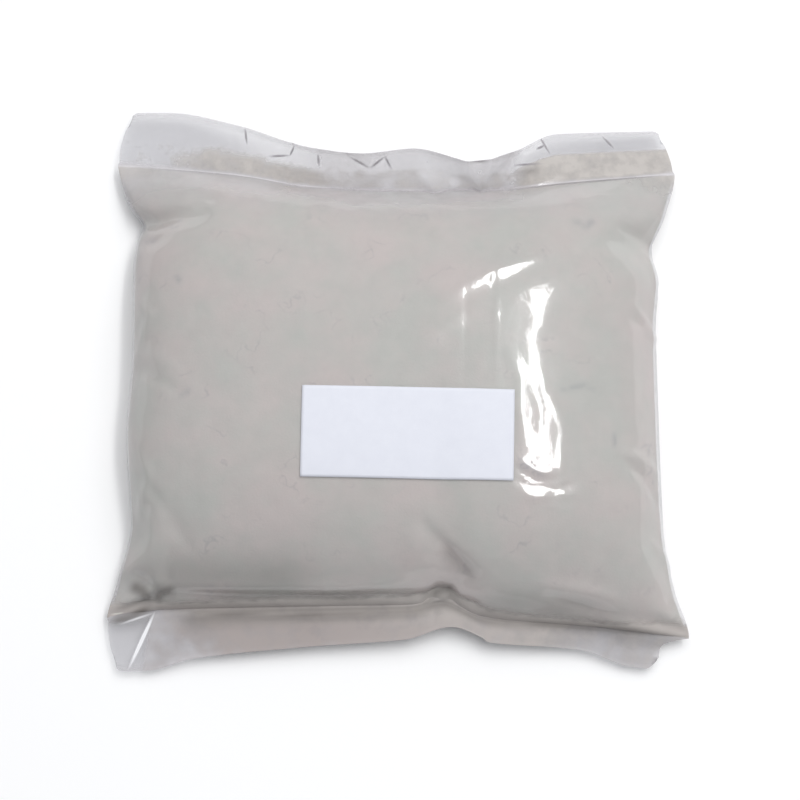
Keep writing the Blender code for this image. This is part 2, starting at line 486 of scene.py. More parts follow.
if bm.calc_volume(signed=True) < 0:
    bmesh.ops.reverse_faces(bm, faces=bm.faces)
film_mesh = bpy.data.meshes.new("film")
bm.to_mesh(film_mesh)
bm.free()
film = bpy.data.objects.new("film", film_mesh)
scene.collection.objects.link(film)
print(len(film_mesh.vertices), "points,", len(film_mesh.polygons), "faces")

# %% [markdown]
# ## Reading and writing points
#
# numpy works on all the points of a mesh at once, which is far quicker than a loop in Python. Three small
# functions carry places and stored values between a mesh and numpy.


# %% Carry points and values to and from numpy
def get_points(mesh):
    """The places of a mesh's points, one row each."""
    points = np.empty(3 * len(mesh.vertices))
    mesh.vertices.foreach_get("co", points)
    return points.reshape(-1, 3)


def get_values(mesh, name):
    """A value, or a place, that each point remembers under a name."""
    layer = mesh.attributes[name].data
    wide = mesh.attributes[name].data_type == "FLOAT_VECTOR"
    values = np.empty(len(layer) * (3 if wide else 1))
    layer.foreach_get("vector" if wide else "value", values)
    return values.reshape(-1, 3) if wide else values


def set_points(mesh, points):
    """Moves a mesh's points to new places."""
    mesh.vertices.foreach_set("co", np.asarray(points, dtype=np.float32).ravel())
    mesh.update()


print("the start is", np.round(np.ptp(get_points(film_mesh), axis=0) / SIM_SCALE / MM, 1), "mm across")

# %% [markdown]
# ## Fill it
#
# Blender's cloth can be blown up from inside. A fluid density makes the pressure grow with depth, as it
# does in loose powder, so the bag slumps instead of swelling like a balloon. The rest shape is the flat
# tube: film does not stretch, so the surplus at the waist and corners has to crease as it does on the real
# bag. The welded ends are held still. The work is done at ten times real size, where the solver is steady.

# %% Hold the ends and keep the flat shape
sim_row = get_values(film_mesh, "row")
held = np.where((sim_row <= FLANGE_ROWS) | (sim_row >= FLANGE_ROWS + BODY_ROWS))[0]
filled = np.where((sim_row >= FLANGE_ROWS) & (sim_row <= FLANGE_ROWS + BODY_ROWS))[0]
film.vertex_groups.new(name="held").add(held.tolist(), 1.0, "REPLACE")
film.vertex_groups.new(name="filled").add(filled.tolist(), 1.0, "REPLACE")
film.shape_key_add(name="start")
flat_key = film.shape_key_add(name="flat tube")
flat_key.data.foreach_set("co", get_values(film_mesh, "flat").ravel())
print(len(held), "points are held still,", len(filled), "feel the pressure")

# %% Set up the cloth
FRAMES = 26
FILL_LITRES = 0.775
FILL_PRESSURE = 1.15
FILL_DENSITY = 0.25

floor.modifiers.new("carries the bag", "COLLISION")
floor.collision.thickness_outer = 0.001
floor.collision.cloth_friction = 10

cloth = film.modifiers.new("film", "CLOTH")
skin = cloth.settings
skin.quality = 6
skin.mass = 0.02
skin.tension_stiffness = skin.compression_stiffness = 60
skin.shear_stiffness = 30
skin.bending_stiffness = 0.5
skin.tension_damping = skin.compression_damping = skin.shear_damping = 5
skin.rest_shape_key = flat_key
skin.vertex_group_mass = "held"
skin.use_pressure = True
skin.uniform_pressure_force = FILL_PRESSURE
skin.use_pressure_volume = True
# A litre is a cube with a side of a tenth of a metre.
skin.target_volume = FILL_LITRES * (0.1 * SIM_SCALE) ** 3
skin.fluid_density = FILL_DENSITY
skin.vertex_group_pressure = "filled"
cloth.collision_settings.distance_min = 0.002
cloth.collision_settings.collision_quality = 3
cloth.point_cache.frame_end = FRAMES
scene.frame_end = FRAMES
print("the film is to hold", FILL_LITRES, "litres")

# %% [markdown]
# ## Let it settle
#
# The frames are played one after another, and the film swells, slumps and creases. The settled points are
# then brought back to real size, and everything that belonged to the simulation is taken off again.

# %% Run the simulation
for number in range(1, FRAMES + 1):
    scene.frame_set(number)
settled = bpy.data.meshes.new_from_object(film.evaluated_get(bpy.context.evaluated_depsgraph_get()))
film.modifiers.remove(cloth)
film.shape_key_clear()
film.vertex_groups.clear()
floor.modifiers.clear()
scene.frame_set(1)
set_points(settled, get_points(settled) / SIM_SCALE)
film.data = settled
bpy.data.meshes.remove(film_mesh)
print("settled", np.round(get_points(settled).max(axis=0) / MM, 1), "mm at its furthest")

# %% [markdown]
# ## A finer skin
#
# One level of subdivision halves the two millimetre cells, which gives room for folds a few millimetres
# wide. It is applied, so that the folds can be pressed into the finer points.

# %% Subdivide once
smoother = film.modifiers.new("finer", "SUBSURF")
smoother.levels = smoother.render_levels = 1
smoother.boundary_smooth = "ALL"
fine = bpy.data.meshes.new_from_object(film.evaluated_get(bpy.context.evaluated_depsgraph_get()))
film.modifiers.clear()
film.data = fine
bpy.data.meshes.remove(settled)
fine.name = "film"
fine.shade_smooth()
print(len(fine.vertices), "points,", len(fine.polygons), "faces")

# %% [markdown]
# ## Points in rows and columns
#
# Shaping is easier on a chart of the film than on a loose list of points. Each point knows its row and its
# share across, so two charts can be filled: one for the front film and one for the back. The folds and
# seals, whose side is 0, belong to both.

# %% Chart the front and back film
ON_WELD = 0.01

column_of = np.round((get_values(fine, "share") + 1) * ACROSS).astype(int)
row_of = np.round(get_values(fine, "row") * 2).astype(int)
side_of = get_values(fine, "side")
fine_columns = 2 * ACROSS + 1
fine_rows = row_of.max() + 1
chart = {}
for side_name, sign in (("front", 1), ("back", -1)):
    chart[side_name] = np.full((fine_rows, fine_columns), -1)
    members = np.where(side_of * sign > -ON_WELD)[0]
    chart[side_name][row_of[members], column_of[members]] = members
    print(side_name, "chart holes:", int((chart[side_name] < 0).sum()))
FIRST_SEAL = 2 * FLANGE_ROWS
LAST_SEAL = 2 * (FLANGE_ROWS + BODY_ROWS)
tube_x = np.linspace(-FLAT_WIDTH / 2, FLAT_WIDTH / 2, fine_columns)
tube_y = (np.arange(fine_rows) - FIRST_SEAL) * FLAT_LENGTH / (LAST_SEAL - FIRST_SEAL)
along = np.clip(tube_y / FLAT_LENGTH, 0, 1)

# %% [markdown]
# ## Sharp side folds
#
# The tube was rolled flat at the factory, and polyethylene remembers its folds. The powder never gets into
# them, so each side keeps a narrow fin of clear film. The rows are then fitted to the two side outlines.


# %% Draw out the folds and fit the outline
def ramp(value, low, high):
    """Rises smoothly from 0 at low to 1 at high."""
    f = np.clip((value - low) / (high - low), 0, 1)
    return f * f * (3 - 2 * f)


# The fins grow from this share across, and would be complete a little past the fold itself.
FIN_STARTS = 0.9
FIN_COMPLETE = 1.25
FIN_LEFT = 2.0
FIN_RIGHT = 5.6

points = get_points(fine) / MM
share_across = np.linspace(-1, 1, fine_columns)
filled_rows = np.sin(np.pi * along) ** 0.5
fin = ramp(np.abs(share_across), FIN_STARTS, FIN_COMPLETE)
fin = np.where(share_across < 0, -FIN_LEFT, FIN_RIGHT) * fin
for side_name in chart:
    points[chart[side_name], 0] += filled_rows[:, None] * fin
welded = [chart["back"][:, 0], chart["back"][:, -1]]
for fold, reach in zip(welded, (fin[0], fin[-1])):
    points[fold, 0] -= filled_rows * reach
for row in range(FIRST_SEAL + 1, LAST_SEAL):
    members = np.unique(np.concatenate([chart["front"][row], chart["back"][row]]))
    x = points[members, 0]
    left, right = (points[chart["front"][row, end], 1] for end in (0, -1))
    want_left, want_right = left_x(left), right_x(right)
    share = (x - x.min()) / (x.max() - x.min())
    points[members, 0] = want_left + share * (want_right - want_left)
waist = points[chart["front"][(FIRST_SEAL + LAST_SEAL) // 2], 0]
print("halfway up the film is", round(float(np.ptp(waist)), 1), "mm wide")

# %% [markdown]
# ## Worn corners and hard edges
#
# The knife cut the four outer corners square, and handling wore them round. Folds and seals are marked as
# sharp edges, so that light breaks over them instead of flowing round.

# %% Round the corners and mark the hard edges
CORNER_RADIUS = 3.5
CORNER_DEPTH = 6

from_fold = np.clip(FLAT_WIDTH / 2 - np.abs(tube_x), 0, CORNER_RADIUS)
drop = CORNER_RADIUS - np.sqrt(CORNER_RADIUS**2 - (CORNER_RADIUS - from_fold) ** 2)
from_mouth = FLAT_LENGTH + HEADER_LENGTH - tube_y
from_flange_edge = tube_y + FLANGE_LENGTH
pull = ramp(from_mouth, 0, CORNER_DEPTH) - ramp(from_flange_edge, 0, CORNER_DEPTH)
for side_name in chart:
    inner = slice(1, -1) if side_name == "back" else slice(None)
    points[chart[side_name][:, inner], 1] += pull[:, None] * drop[None, inner]
set_points(fine, points * MM)

is_welded = np.abs(side_of) < ON_WELD
edges = np.empty(2 * len(fine.edges), dtype=int)
fine.edges.foreach_get("vertices", edges)
sharp = is_welded[edges.reshape(-1, 2)].all(axis=1)
fine.attributes.new("sharp_edge", "BOOLEAN", "EDGE").data.foreach_set("value", sharp)
print(int(sharp.sum()), "edges are folds or welds")

# %% [markdown]
# ## Where the film is creased
#
# Film creases where it is pushed together: along the foot, in the corners, and fanned out at the waist and
# the head. Each crease is a path on the plan of the bag, with a height and a width, all in millimetres. A
# ridge stands up and a valley sinks.

# %% Creases at the foot and in the lower left corner
FOOT_CREASES = (
    ("valley", 1.0, 1.4, ((-79, -72.8), (-53, -73.8), (-23, -74.0), (9, -73.0))),
    ("ridge", 0.5, 1.6, ((-76, -70.0), (-53, -70.7), (-23, -71.1), (5, -70.5))),
    ("valley", 0.9, 1.1, ((-80, -79.2), (-53, -79.4), (-23, -79.8), (9, -79.0))),
    ("valley", 1.3, 1.6, ((10.5, -76.5), (11.5, -73.4), (14.5, -71.2), (18.0, -72.2), (18.8, -75.4))),
    ("ridge", 1.0, 1.8, ((12.5, -82), (12.6, -78), (15.0, -75.2), (16.0, -77.5))),
    ("valley", 0.9, 1.9, ((8, -50.5), (14, -56.8), (20, -62.6), (27, -69))),
    ("valley", 0.4, 4.0, ((16, -60), (24, -65.5), (34, -68))),
    ("ridge", 0.4, 4.0, ((3, -56), (11, -63), (16, -69.5))),
    ("ridge", 0.9, 2.2, ((48, -70.6), (60.9, -72.1), (74, -75.0))),
    ("valley", 0.8, 1.6, ((50, -74.0), (57, -75.5), (68.1, -79.0), (76, -80.5))),
    ("ridge", 0.6, 1.5, ((31.4, -79.2), (51.8, -80.2), (72.7, -81.8), (93, -85.4))),
)
CORNER_CREASES = (
    ("valley", 1.0, 1.5, ((-98, -80), (-90.7, -77.8), (-81.8, -74.0))),
    ("ridge", 0.7, 1.5, ((-94, -76), (-86, -73.8), (-80, -70.5), (-77, -72.5))),
    ("valley", 0.8, 1.6, ((-81, -73.0), (-85, -68.5), (-90, -66))),
    ("valley", 0.6, 1.5, ((-81, -73.0), (-77, -68.0), (-76, -64))),
    ("ridge", 0.25, 1.6, ((-82.2, -78.5), (-91.1, -98.6))),
    ("valley", 0.2, 1.4, ((-79.8, -79.5), (-70, -93))),
)
print(len(FOOT_CREASES) + len(CORNER_CREASES), "creases at the foot")

# %% [markdown]
# ## Creases that shape the ribbon
#
# Right of the label the film is almost smooth, and what shows is the mirrored strip light. A ridge a tenth
# of a millimetre high tips the film by a degree or two, which moves the reflection by several millimetres.
# These low ridges and valleys bend, split and cut the ribbon as the real film does.

# %% Creases over the middle
MIDDLE_CREASES = (
    ("ridge", 0.6, 3.4, ((18, 26.0), (26.0, 30.4), (40.2, 37.6), (57, 44.2))),
    ("valley", 0.12, 0.9, ((32.7, 39.5), (32.5, 24.0))),
    ("ridge", 0.34, 2.6, ((15, 24.6), (26.0, 30.4), (36, 35.4))),
    ("ridge", 0.34, 3.4, ((3, 4), (7.6, 6.6), (14.6, 13.5), (24, 16.5))),
    ("ridge", 0.12, 0.9, ((31.6, 18.4), (33.2, 17.0))),
    ("ridge", 0.17, 9.0, ((36, 14), (36, 3))),
    ("ridge", 0.2, 9.0, ((63, 31), (62, 22))),
    ("ridge", 0.16, 4.2, ((52, 23), (46.2, 12.5), (45.8, 8), (47.6, 0))),
    ("valley", 0.05, 1.3, ((49.5, 27), (54, 30))),
    ("ridge", 0.07, 1.0, ((46.5, 1), (48.5, -3), (48, -9))),
    ("ridge", 0.16, 2.2, ((38, 3), (41, -4), (40.5, -12), (42, -28))),
    ("valley", 0.12, 1.5, ((45.5, -8), (47.5, -15), (47, -24))),
    ("ridge", 0.12, 1.5, ((49, -7), (54, -16), (56.5, -26))),
    ("ridge", 0.22, 1.5, ((38, -30), (43, -33.5), (49, -35), (55, -33))),
    ("valley", 0.25, 1.3, ((39.5, -33), (45, -37), (52, -38))),
    ("ridge", 0.2, 1.0, ((40, -41), (45, -43.5), (50, -42))),
    ("valley", 0.22, 1.1, ((37.5, -36.5), (44, -39.5), (53, -40.5), (60, -37))),
    ("ridge", 0.16, 0.9, ((52, -39), (56, -42.5), (62, -41))),
    ("valley", 0.16, 1.0, ((44, -30.5), (46.5, -32.5), (50, -31.5))),
    ("ridge", 0.14, 0.9, ((50, -45.5), (55, -47), (58, -46))),
    ("ridge", 0.12, 0.9, ((54.3, -22), (54.2, -36))),
    ("ridge", 0.25, 1.4, ((9.5, -45.5), (11, -49), (13, -54))),
    ("ridge", 0.4, 1.3, ((11.5, 47.2), (15.5, 49.0))),
    ("valley", 0.07, 0.9, ((23.3, 32), (22.0, -11))),
    ("ridge", 0.06, 0.9, ((33.4, 44), (32.6, -8))),
)
print(len(MIDDLE_CREASES), "creases over the middle")

# %% [markdown]
# ## Creases at the waist and the head
#
# At the waist the surplus film gathers in short creases that start at the side folds. At the head they fan
# out from the seal, and the header has kinks of its own.

# %% Creases at the sides and the head
SIDE_CREASES = (
    ("valley", 0.8, 2.2, ((-90, 50), (-84, 47), (-79, 48.5))),
    ("valley", 0.5, 1.8, ((-91, 3), (-84, 0), (-78, -4), (-71, -8))),
    ("ridge", 0.4, 2.2, ((-90, 8), (-82, 6), (-74, 1))),
    ("valley", 0.6, 2.0, ((-90, -33), (-83, -38), (-78, -45))),
    ("ridge", 1.0, 1.6, ((84, 45), (87.6, 41.7), (90.7, 31.5))),
    ("ridge", 1.0, 1.6, ((80, 24), (84, 19.5), (90.3, 12))),
    ("ridge", 0.9, 1.8, ((73.5, -26.7), (82, -29), (88.9, -33))),
    ("valley", 0.8, 1.6, ((76, -30), (84, -36), (89, -44))),
    ("ridge", 0.8, 1.5, ((84, -55), (90, -60), (93.6, -67))),
    ("valley", 1.0, 2.0, ((-93, 58), (-84, 55.5), (-76, 56.5))),
    ("valley", 1.0, 2.0, ((92, 48), (84, 50), (76, 53))),
    ("ridge", 0.6, 1.8, ((-90, 30), (-84, 20), (-88, 5))),
    ("ridge", 0.6, 1.8, ((-89, -22), (-83, -34), (-87, -48))),
)
HEAD_CREASES = (
    ("ridge", 0.9, 1.3, ((31.4, 69.5), (36, 72.5), (41, 78))),
    ("valley", 0.8, 1.2, ((39.9, 74.0), (50.7, 76.8))),
    ("ridge", 0.8, 1.3, ((14, 73.5), (20, 71.2), (27, 69.2))),
    ("valley", 0.6, 1.5, ((21, 79), (26, 73), (29, 69.0), (32, 74), (34, 79))),
    ("valley", 0.9, 2.5, ((6, 74), (12, 70.5), (16, 63))),
    ("ridge", 0.5, 1.1, ((-16, 77.5), (-9.4, 74.8), (-4.2, 77.8), (-2, 74.8))),
    ("ridge", 0.5, 1.1, ((-45, 80.5), (-37.4, 80), (-36, 82.5), (-38, 88))),
)
CREASES = FOOT_CREASES + CORNER_CREASES + MIDDLE_CREASES + SIDE_CREASES + HEAD_CREASES
print(len(CREASES), "creases in all")

# %% [markdown]
# ## Measuring along a crease
#
# A crease is pressed in by distance: each point of the film needs to know how far it is from the path, and
# how far along the path it lies, because a crease fades at both ends. The lift across it is a smooth bell.

# %% Distance to a path, and the lift of the creases
FADE_MARGIN = 0.02


def near_path(path, x, y):
    """Distance from each place to a path, and how far along it the place lies, from 0 to 1."""
    best = np.full(x.shape, np.inf)
    walked = np.zeros(x.shape)
    total = 0.0
    for (ax, ay), (bx, by) in zip(path[:-1], path[1:]):
        length = np.hypot(bx - ax, by - ay)
        f = np.clip(((x - ax) * (bx - ax) + (y - ay) * (by - ay)) / length**2, 0, 1)
        distance = np.hypot(x - ax - f * (bx - ax), y - ay - f * (by - ay))
        closer = distance < best
        best = np.where(closer, distance, best)
        walked = np.where(closer, total + f * length, walked)
        total += length
    return best, walked / total


def bell(distance, width):
    """1 at no distance, falling smoothly to about a third at one width."""
    return np.exp(-((distance / width) ** 2))


def crease_heights(creases, x, y):
    """How far each place of the film is lifted by the creases, in millimetres."""
    lift = np.zeros(x.shape)
    for kind, height, width, path in creases:
        distance, progress = near_path(path, x, y)
        inside = FADE_MARGIN + progress * (1 - 2 * FADE_MARGIN)
        fade = np.sin(np.pi * np.clip(inside, 0, 1)) ** 0.5
        sign = -1 if kind == "valley" else 1
        lift += sign * height * fade * bell(distance, width)
    return lift


def film_normals():
    """The direction that the film faces at each of its points."""
    normals = np.empty(3 * len(fine.vertices))
    fine.vertex_normals.foreach_get("vector", normals)
    return normals.reshape(-1, 3)


print("a crease is", round(float(bell(1.0, 1.0)), 2), "of its height at one width from its path")

# %% [markdown]
# ## Slack beside the label
#
# Beside the label the solver leaves small waves that the real film doesn't have: its ribbon of light runs
# almost unbroken. There the height of the front film is evened out many times, by the mean of its
# neighbours, within a squarish patch that fades at its rim. The creases go in afterwards.

# %% Even out the slack film
SLACK_CENTRE = (46.0, 2.0)
SLACK_REACH = 40.0
SLACK_PASSES = 160

points = get_points(fine) / MM
places = points[chart["front"]]
off_centre = (places[..., :2] - SLACK_CENTRE) / SLACK_REACH
slack = np.exp(-(off_centre[..., 0] ** 4 + off_centre[..., 1] ** 4))
height = places[..., 2].copy()
for _ in range(SLACK_PASSES):
    padded = np.pad(height, 1, mode="edge")
    average = (padded[:-2, 1:-1] + padded[2:, 1:-1] + padded[1:-1, :-2] + padded[1:-1, 2:]) / 4
    height += slack * (average - height)
print("evening moves the film by up to", round(float(np.abs(height - places[..., 2]).max()), 2), "mm")
points[chart["front"], 2] = height
set_points(fine, points * MM)

# %% [markdown]
# ## Press the creases in
#
# The points move along the film's own normal. In the header and the flange both layers crease together, so
# each back point there takes the lift of the front point above it.

# %% Press the creases into the film
front = chart["front"][:, 1:-1].ravel()
lift = crease_heights(CREASES, points[front, 0], points[front, 1])
points[front] += film_normals()[front] * lift[:, None]
end_rows = np.concatenate([chart["front"][:FIRST_SEAL].ravel(), chart["front"][LAST_SEAL + 1 :].ravel()])
ends = np.isin(front, end_rows)
back_of_front = dict(zip(chart["front"].ravel().tolist(), chart["back"].ravel().tolist()))
twins = np.array([back_of_front[i] for i in front[ends].tolist()])
points[twins] += film_normals()[front[ends]] * lift[ends][:, None]
set_points(fine, points * MM)
print("creases lift the film by up to", round(float(lift.max()), 2), "mm")

# %% [markdown]
# ## The powder
#
# Powder fills the film wherever it can flow, so its surface is the film's own, a hair inside it. It never
# reaches the very edge of a fold or a seal. Each point of the powder is therefore read from the film a
# little nearer the middle of the bag, moved inwards, and the edge is closed round.


# %% Read between the points of a chart
def read_chart(chart_values, row, column):
    """Values between the points of a chart."""
    r = np.clip(np.floor(row).astype(int), 0, chart_values.shape[0] - 2)
    c = np.clip(np.floor(column).astype(int), 0, chart_values.shape[1] - 2)
    fr, fc = (row - r)[..., None], (column - c)[..., None]
    low = chart_values[r, c] * (1 - fc) + chart_values[r, c + 1] * fc
    high = chart_values[r + 1, c] * (1 - fc) + chart_values[r + 1, c + 1] * fc
    return low * (1 - fr) + high * fr


points = get_points(fine) / MM
normals = film_normals()
crown_point = read_chart(points[chart["front"]], np.array([fine_rows / 2]), np.array([ACROSS]))[0]
print("the front film is", round(float(crown_point[2]), 1), "mm high in the middle")

# %% Read the powder's surface from the film
POWDER_GAP = 0.45
GAP_SHARE = 0.3
SIDE_MARGIN = 0.015
END_MARGIN = 0.009

body_rows = np.arange(FIRST_SEAL, LAST_SEAL + 1)
share_grid, end_grid = np.meshgrid(share_across, 2 * along[body_rows] - 1)
shrunk_share = share_grid * (1 - SIDE_MARGIN * np.abs(share_grid) ** 3)
shrunk_end = end_grid * (1 - END_MARGIN * np.abs(end_grid) ** 3)
column_at = (shrunk_share + 1) * ACROSS
row_at = FIRST_SEAL + (shrunk_end + 1) / 2 * (LAST_SEAL - FIRST_SEAL)
faces, inwards = {}, {}
for side_name in chart:
    places = read_chart(points[chart[side_name]], row_at, column_at)
    directions = read_chart(normals[chart[side_name]], row_at, column_at)
    directions /= np.linalg.norm(directions, axis=-1, keepdims=True)
    faces[side_name] = places
    inwards[side_name] = -directions
depth = np.linalg.norm(faces["front"] - faces["back"], axis=-1)
gap = np.minimum(POWDER_GAP, GAP_SHARE * depth)
for side_name in chart:
    faces[side_name] = faces[side_name] + inwards[side_name] * gap[..., None]
print("the bag is up to", round(float(depth.max()), 1), "mm deep")

# %% Close the powder's edge
SIDE_SQUARENESS = 30
END_SQUARENESS = 50
EDGE_ROUNDNESS = 0.4

side_closing = 1 - np.abs(share_grid) ** SIDE_SQUARENESS
end_closing = 1 - np.abs(end_grid) ** END_SQUARENESS
closing = (side_closing * end_closing) ** EDGE_ROUNDNESS
core = (faces["front"] + faces["back"]) / 2
powder_points = points.copy()
for side_name in chart:
    powder_points[chart[side_name][body_rows]] = core + (faces[side_name] - core) * closing[..., None]
powder_mesh = fine.copy()
powder_mesh.name = "powder"
set_points(powder_mesh, powder_points * MM)
print("the edge is closed round over", int((closing < 0.9).sum()), "points")

# %% [markdown]
# ## Painted shade in small dents
#
# Here and there the powder is painted with a small darker spot: painted shade where the film is dented or
# creased, and a painted dark reflection below the ribbon of light. Each spot is a short path with a width,
# and its strength is kept on the powder's points.

# %% Chart the painted shade spots
# Painted shade: darker spots in small dents and creases, and a painted dark reflection below the ribbon.
SHADE_SPOTS = (
    (3.6, ((-90, -69.5), (-86.5, -67.5))),
    (1.6, ((-84, -73), (-79.5, -72.3))),
    (1.5, ((-87, 48.5), (-84.5, 48))),
    (1.2, ((-75, 32.5), (-74, 31.5))),
    (1.3, ((-72, -8.5), (-70, -7.5))),
    (1.5, ((61, 53), (64.7, 51.5), (67, 53.5))),
    (0.9, ((54.1, -7.3), (62.9, -5.3), (66.3, -6.8))),
    (0.9, ((72.9, -21.5), (72.9, -25))),
    (2.0, ((41, -32), (47.5, -35))),
)
SPOT_SHADE_DEPTH = 0.38

spot_shade_chart = np.zeros((fine_rows, fine_columns))
front_places = points[chart["front"]]
for width, path in SHADE_SPOTS:
    distance = near_path(path, front_places[..., 0], front_places[..., 1])[0]
    spot_shade_chart = np.maximum(spot_shade_chart, SPOT_SHADE_DEPTH * bell(distance, width))
spot_shade_values = np.zeros(len(fine.vertices))
spot_shade_values[chart["front"].ravel()] = spot_shade_chart.ravel()
powder_mesh.attributes.new("spot_shade", "FLOAT", "POINT").data.foreach_set("value", spot_shade_values)
print(len(SHADE_SPOTS), "smudges on", int((spot_shade_values > 0.1).sum()), "points")

# %% [markdown]
# ## The powder as a closed body
#
# The rows beyond the two seals are cut away, which leaves the powder closed, because front and back meet
# along the seals and the folds. One light pass of smoothing takes off what powder can't hold as an edge.

# %% Close the powder body
ROW_SLACK = 1e-3

bm = bmesh.new()
bm.from_mesh(powder_mesh)
row_layer = bm.verts.layers.float["row"]
first_row = FLANGE_ROWS - ROW_SLACK
last_row = FLANGE_ROWS + BODY_ROWS + ROW_SLACK
outside = [v for v in bm.verts if not first_row < v[row_layer] < last_row]
bmesh.ops.delete(bm, geom=outside, context="VERTS")
bmesh.ops.smooth_vert(bm, verts=bm.verts, factor=0.5, use_axis_x=True, use_axis_y=True, use_axis_z=True)
bmesh.ops.recalc_face_normals(bm, faces=bm.faces)
if bm.calc_volume(signed=True) < 0:
    bmesh.ops.reverse_faces(bm, faces=bm.faces)
bm.to_mesh(powder_mesh)
open_edges = sum(edge.is_boundary for edge in bm.edges)
print("powder holds", round(bm.calc_volume() * 1e6), "ml, open edges:", open_edges)
bm.free()
powder = bpy.data.objects.new("powder", powder_mesh)
scene.collection.objects.link(powder)

# %% [markdown]
# ## The label
#
# A label is paper with glue on its back. It is too stiff to follow small folds, so it bridges them. The
# sheet is laid over the highest film under it, and then gets the thickness of paper.

# %% Lay the label on the film
LABEL_WIDTH = 70.0
LABEL_HEIGHT = 30.0
LABEL_THICKNESS = 0.11
LABEL_CENTRE = (3.5, -22.0)
LABEL_TURN_DEG = -1.1
LABEL_LIFT = 0.12
LABEL_PASSES = 10
DROP_HEIGHT = 1.0

film_tree = BVHTree.FromPolygons([v.co for v in fine.vertices], [p.vertices[:] for p in fine.polygons])
bm = bmesh.new()
bmesh.ops.create_grid(bm, x_segments=int(LABEL_WIDTH), y_segments=int(LABEL_HEIGHT), size=0.5)
bmesh.ops.scale(bm, verts=bm.verts, vec=(LABEL_WIDTH, LABEL_HEIGHT, 1))
turn = Matrix.Rotation(np.radians(LABEL_TURN_DEG), 4, "Z")
bmesh.ops.transform(bm, verts=bm.verts, matrix=Matrix.Translation((*LABEL_CENTRE, 0)) @ turn)
bmesh.ops.scale(bm, verts=bm.verts, vec=(MM, MM, MM))
for vert in bm.verts:
    hit = film_tree.ray_cast(Vector((vert.co.x, vert.co.y, DROP_HEIGHT)), Vector((0, 0, -1)))[0]
    vert.co.z = hit.z + LABEL_LIFT * MM
for _ in range(LABEL_PASSES):
    bmesh.ops.smooth_vert(bm, verts=[v for v in bm.verts if not v.is_boundary], factor=0.5, use_axis_z=True)
bmesh.ops.recalc_face_normals(bm, faces=bm.faces)
label_mesh = bpy.data.meshes.new("label")
bm.to_mesh(label_mesh)
bm.free()
label_mesh.shade_smooth()
label = bpy.data.objects.new("label", label_mesh)
scene.collection.objects.link(label)
wall = label.modifiers.new("paper", "SOLIDIFY")
wall.thickness = LABEL_THICKNESS * MM
wall.offset = 1.0
print("label of", len(label_mesh.polygons), "faces")

# %% [markdown]
# ## Film: clear, and a little milky
#
# Blown polyethylene cooled in air without touching a mould, so it is clear and glossy, with a faint milky
# veil. A glass shader would bend what lies behind it and darken the powder. Thin film does neither, so the
# recipe lets light straight through and mixes in a little white that scatters. The share of white is kept
# on the film's points under the name haze, and a noise makes it uneven.

# %% Film material: clear and milky
VEIL_SIZE = 16
VEIL_CONTRAST = 1.2
VEIL_LEAST = 0.4

clear_film, out = new_material("clear blown polyethylene")
tree = clear_film.node_tree
place = add(tree, "TexCoord").outputs["Object"]
dust = add(tree, "Attribute", attribute_name="dust").outputs["Fac"]
haze = add(tree, "Attribute", attribute_name="haze").outputs["Fac"]

clear = add(tree, "BsdfTransparent", {"Color": paint("#F6F6F7")})
milky = add(tree, "BsdfDiffuse", {"Color": paint("#DAD7D9")})
veil = add(tree, "TexNoise", {"Vector": place, "Scale": every(VEIL_SIZE), "Detail": 3.0})
milkiness = {0: veil.outputs["Fac"], 1: VEIL_CONTRAST, 2: VEIL_LEAST}
veil_depth = add(tree, "Math", milkiness, operation="MULTIPLY_ADD")
veiled = add(tree, "Math", {0: veil_depth.outputs[0], 1: haze}, operation="MULTIPLY", use_clamp=True)
cloudy = add(tree, "MixShader", {0: veiled.outputs[0], 1: clear.outputs[0], 2: milky.outputs[0]})
print(clear_film.name, "starts with", len(tree.nodes), "nodes")

# %% [markdown]
# ## Film: the dust that clings to it, and painted shade
#
# Cement dust clings to the film in clumps and hides it, so it is a matt coat mixed over the film. A noise
# is added to the stored amount of dust, so that thick places close up and thin ones break into flecks.
# Below the foot the coat is mixed towards a darker, pinker tone, most of all at the left: painted shade, for
# the flange lies in the shade of the fill. The folds get darker lines of painted shade, mixed over it.

# %% Film material: dust coat and painted shade
CLUMP_SIZE = 5.5
CLUMP_CONTRAST = 1.3
DUST_NEEDED = 1.0
DUST_GAIN = 1.8
MOST_COVER = 0.9
UNSHADED_FOOT_Y = -72
SHADED_FOOT_Y = -84
LEAST_FOOT_SHADE_X = 50
MOST_FOOT_SHADE_X = -20
LEAST_FOOT_SHADE = 0.4

clump = {"Vector": place, "Scale": every(CLUMP_SIZE), "Detail": 5.0, "Roughness": 0.5}
grains = add(tree, "TexNoise", clump).outputs["Fac"]
clumpy = {0: grains, 1: CLUMP_CONTRAST, 2: -DUST_NEEDED}
patches = add(tree, "Math", clumpy, operation="MULTIPLY_ADD").outputs[0]
cling = add(tree, "Math", {0: dust, 1: DUST_GAIN, 2: patches}, operation="MULTIPLY_ADD", use_clamp=True)
thin_coat = add(tree, "Math", {0: cling.outputs[0], 1: MOST_COVER}, operation="MULTIPLY")
coat_tone = add(tree, "Mix", {0: grains, 6: paint("#BBB6B2"), 7: paint("#D2CDC8")}, data_type="RGBA")

across_and_along = add(tree, "SeparateXYZ", {0: place}).outputs
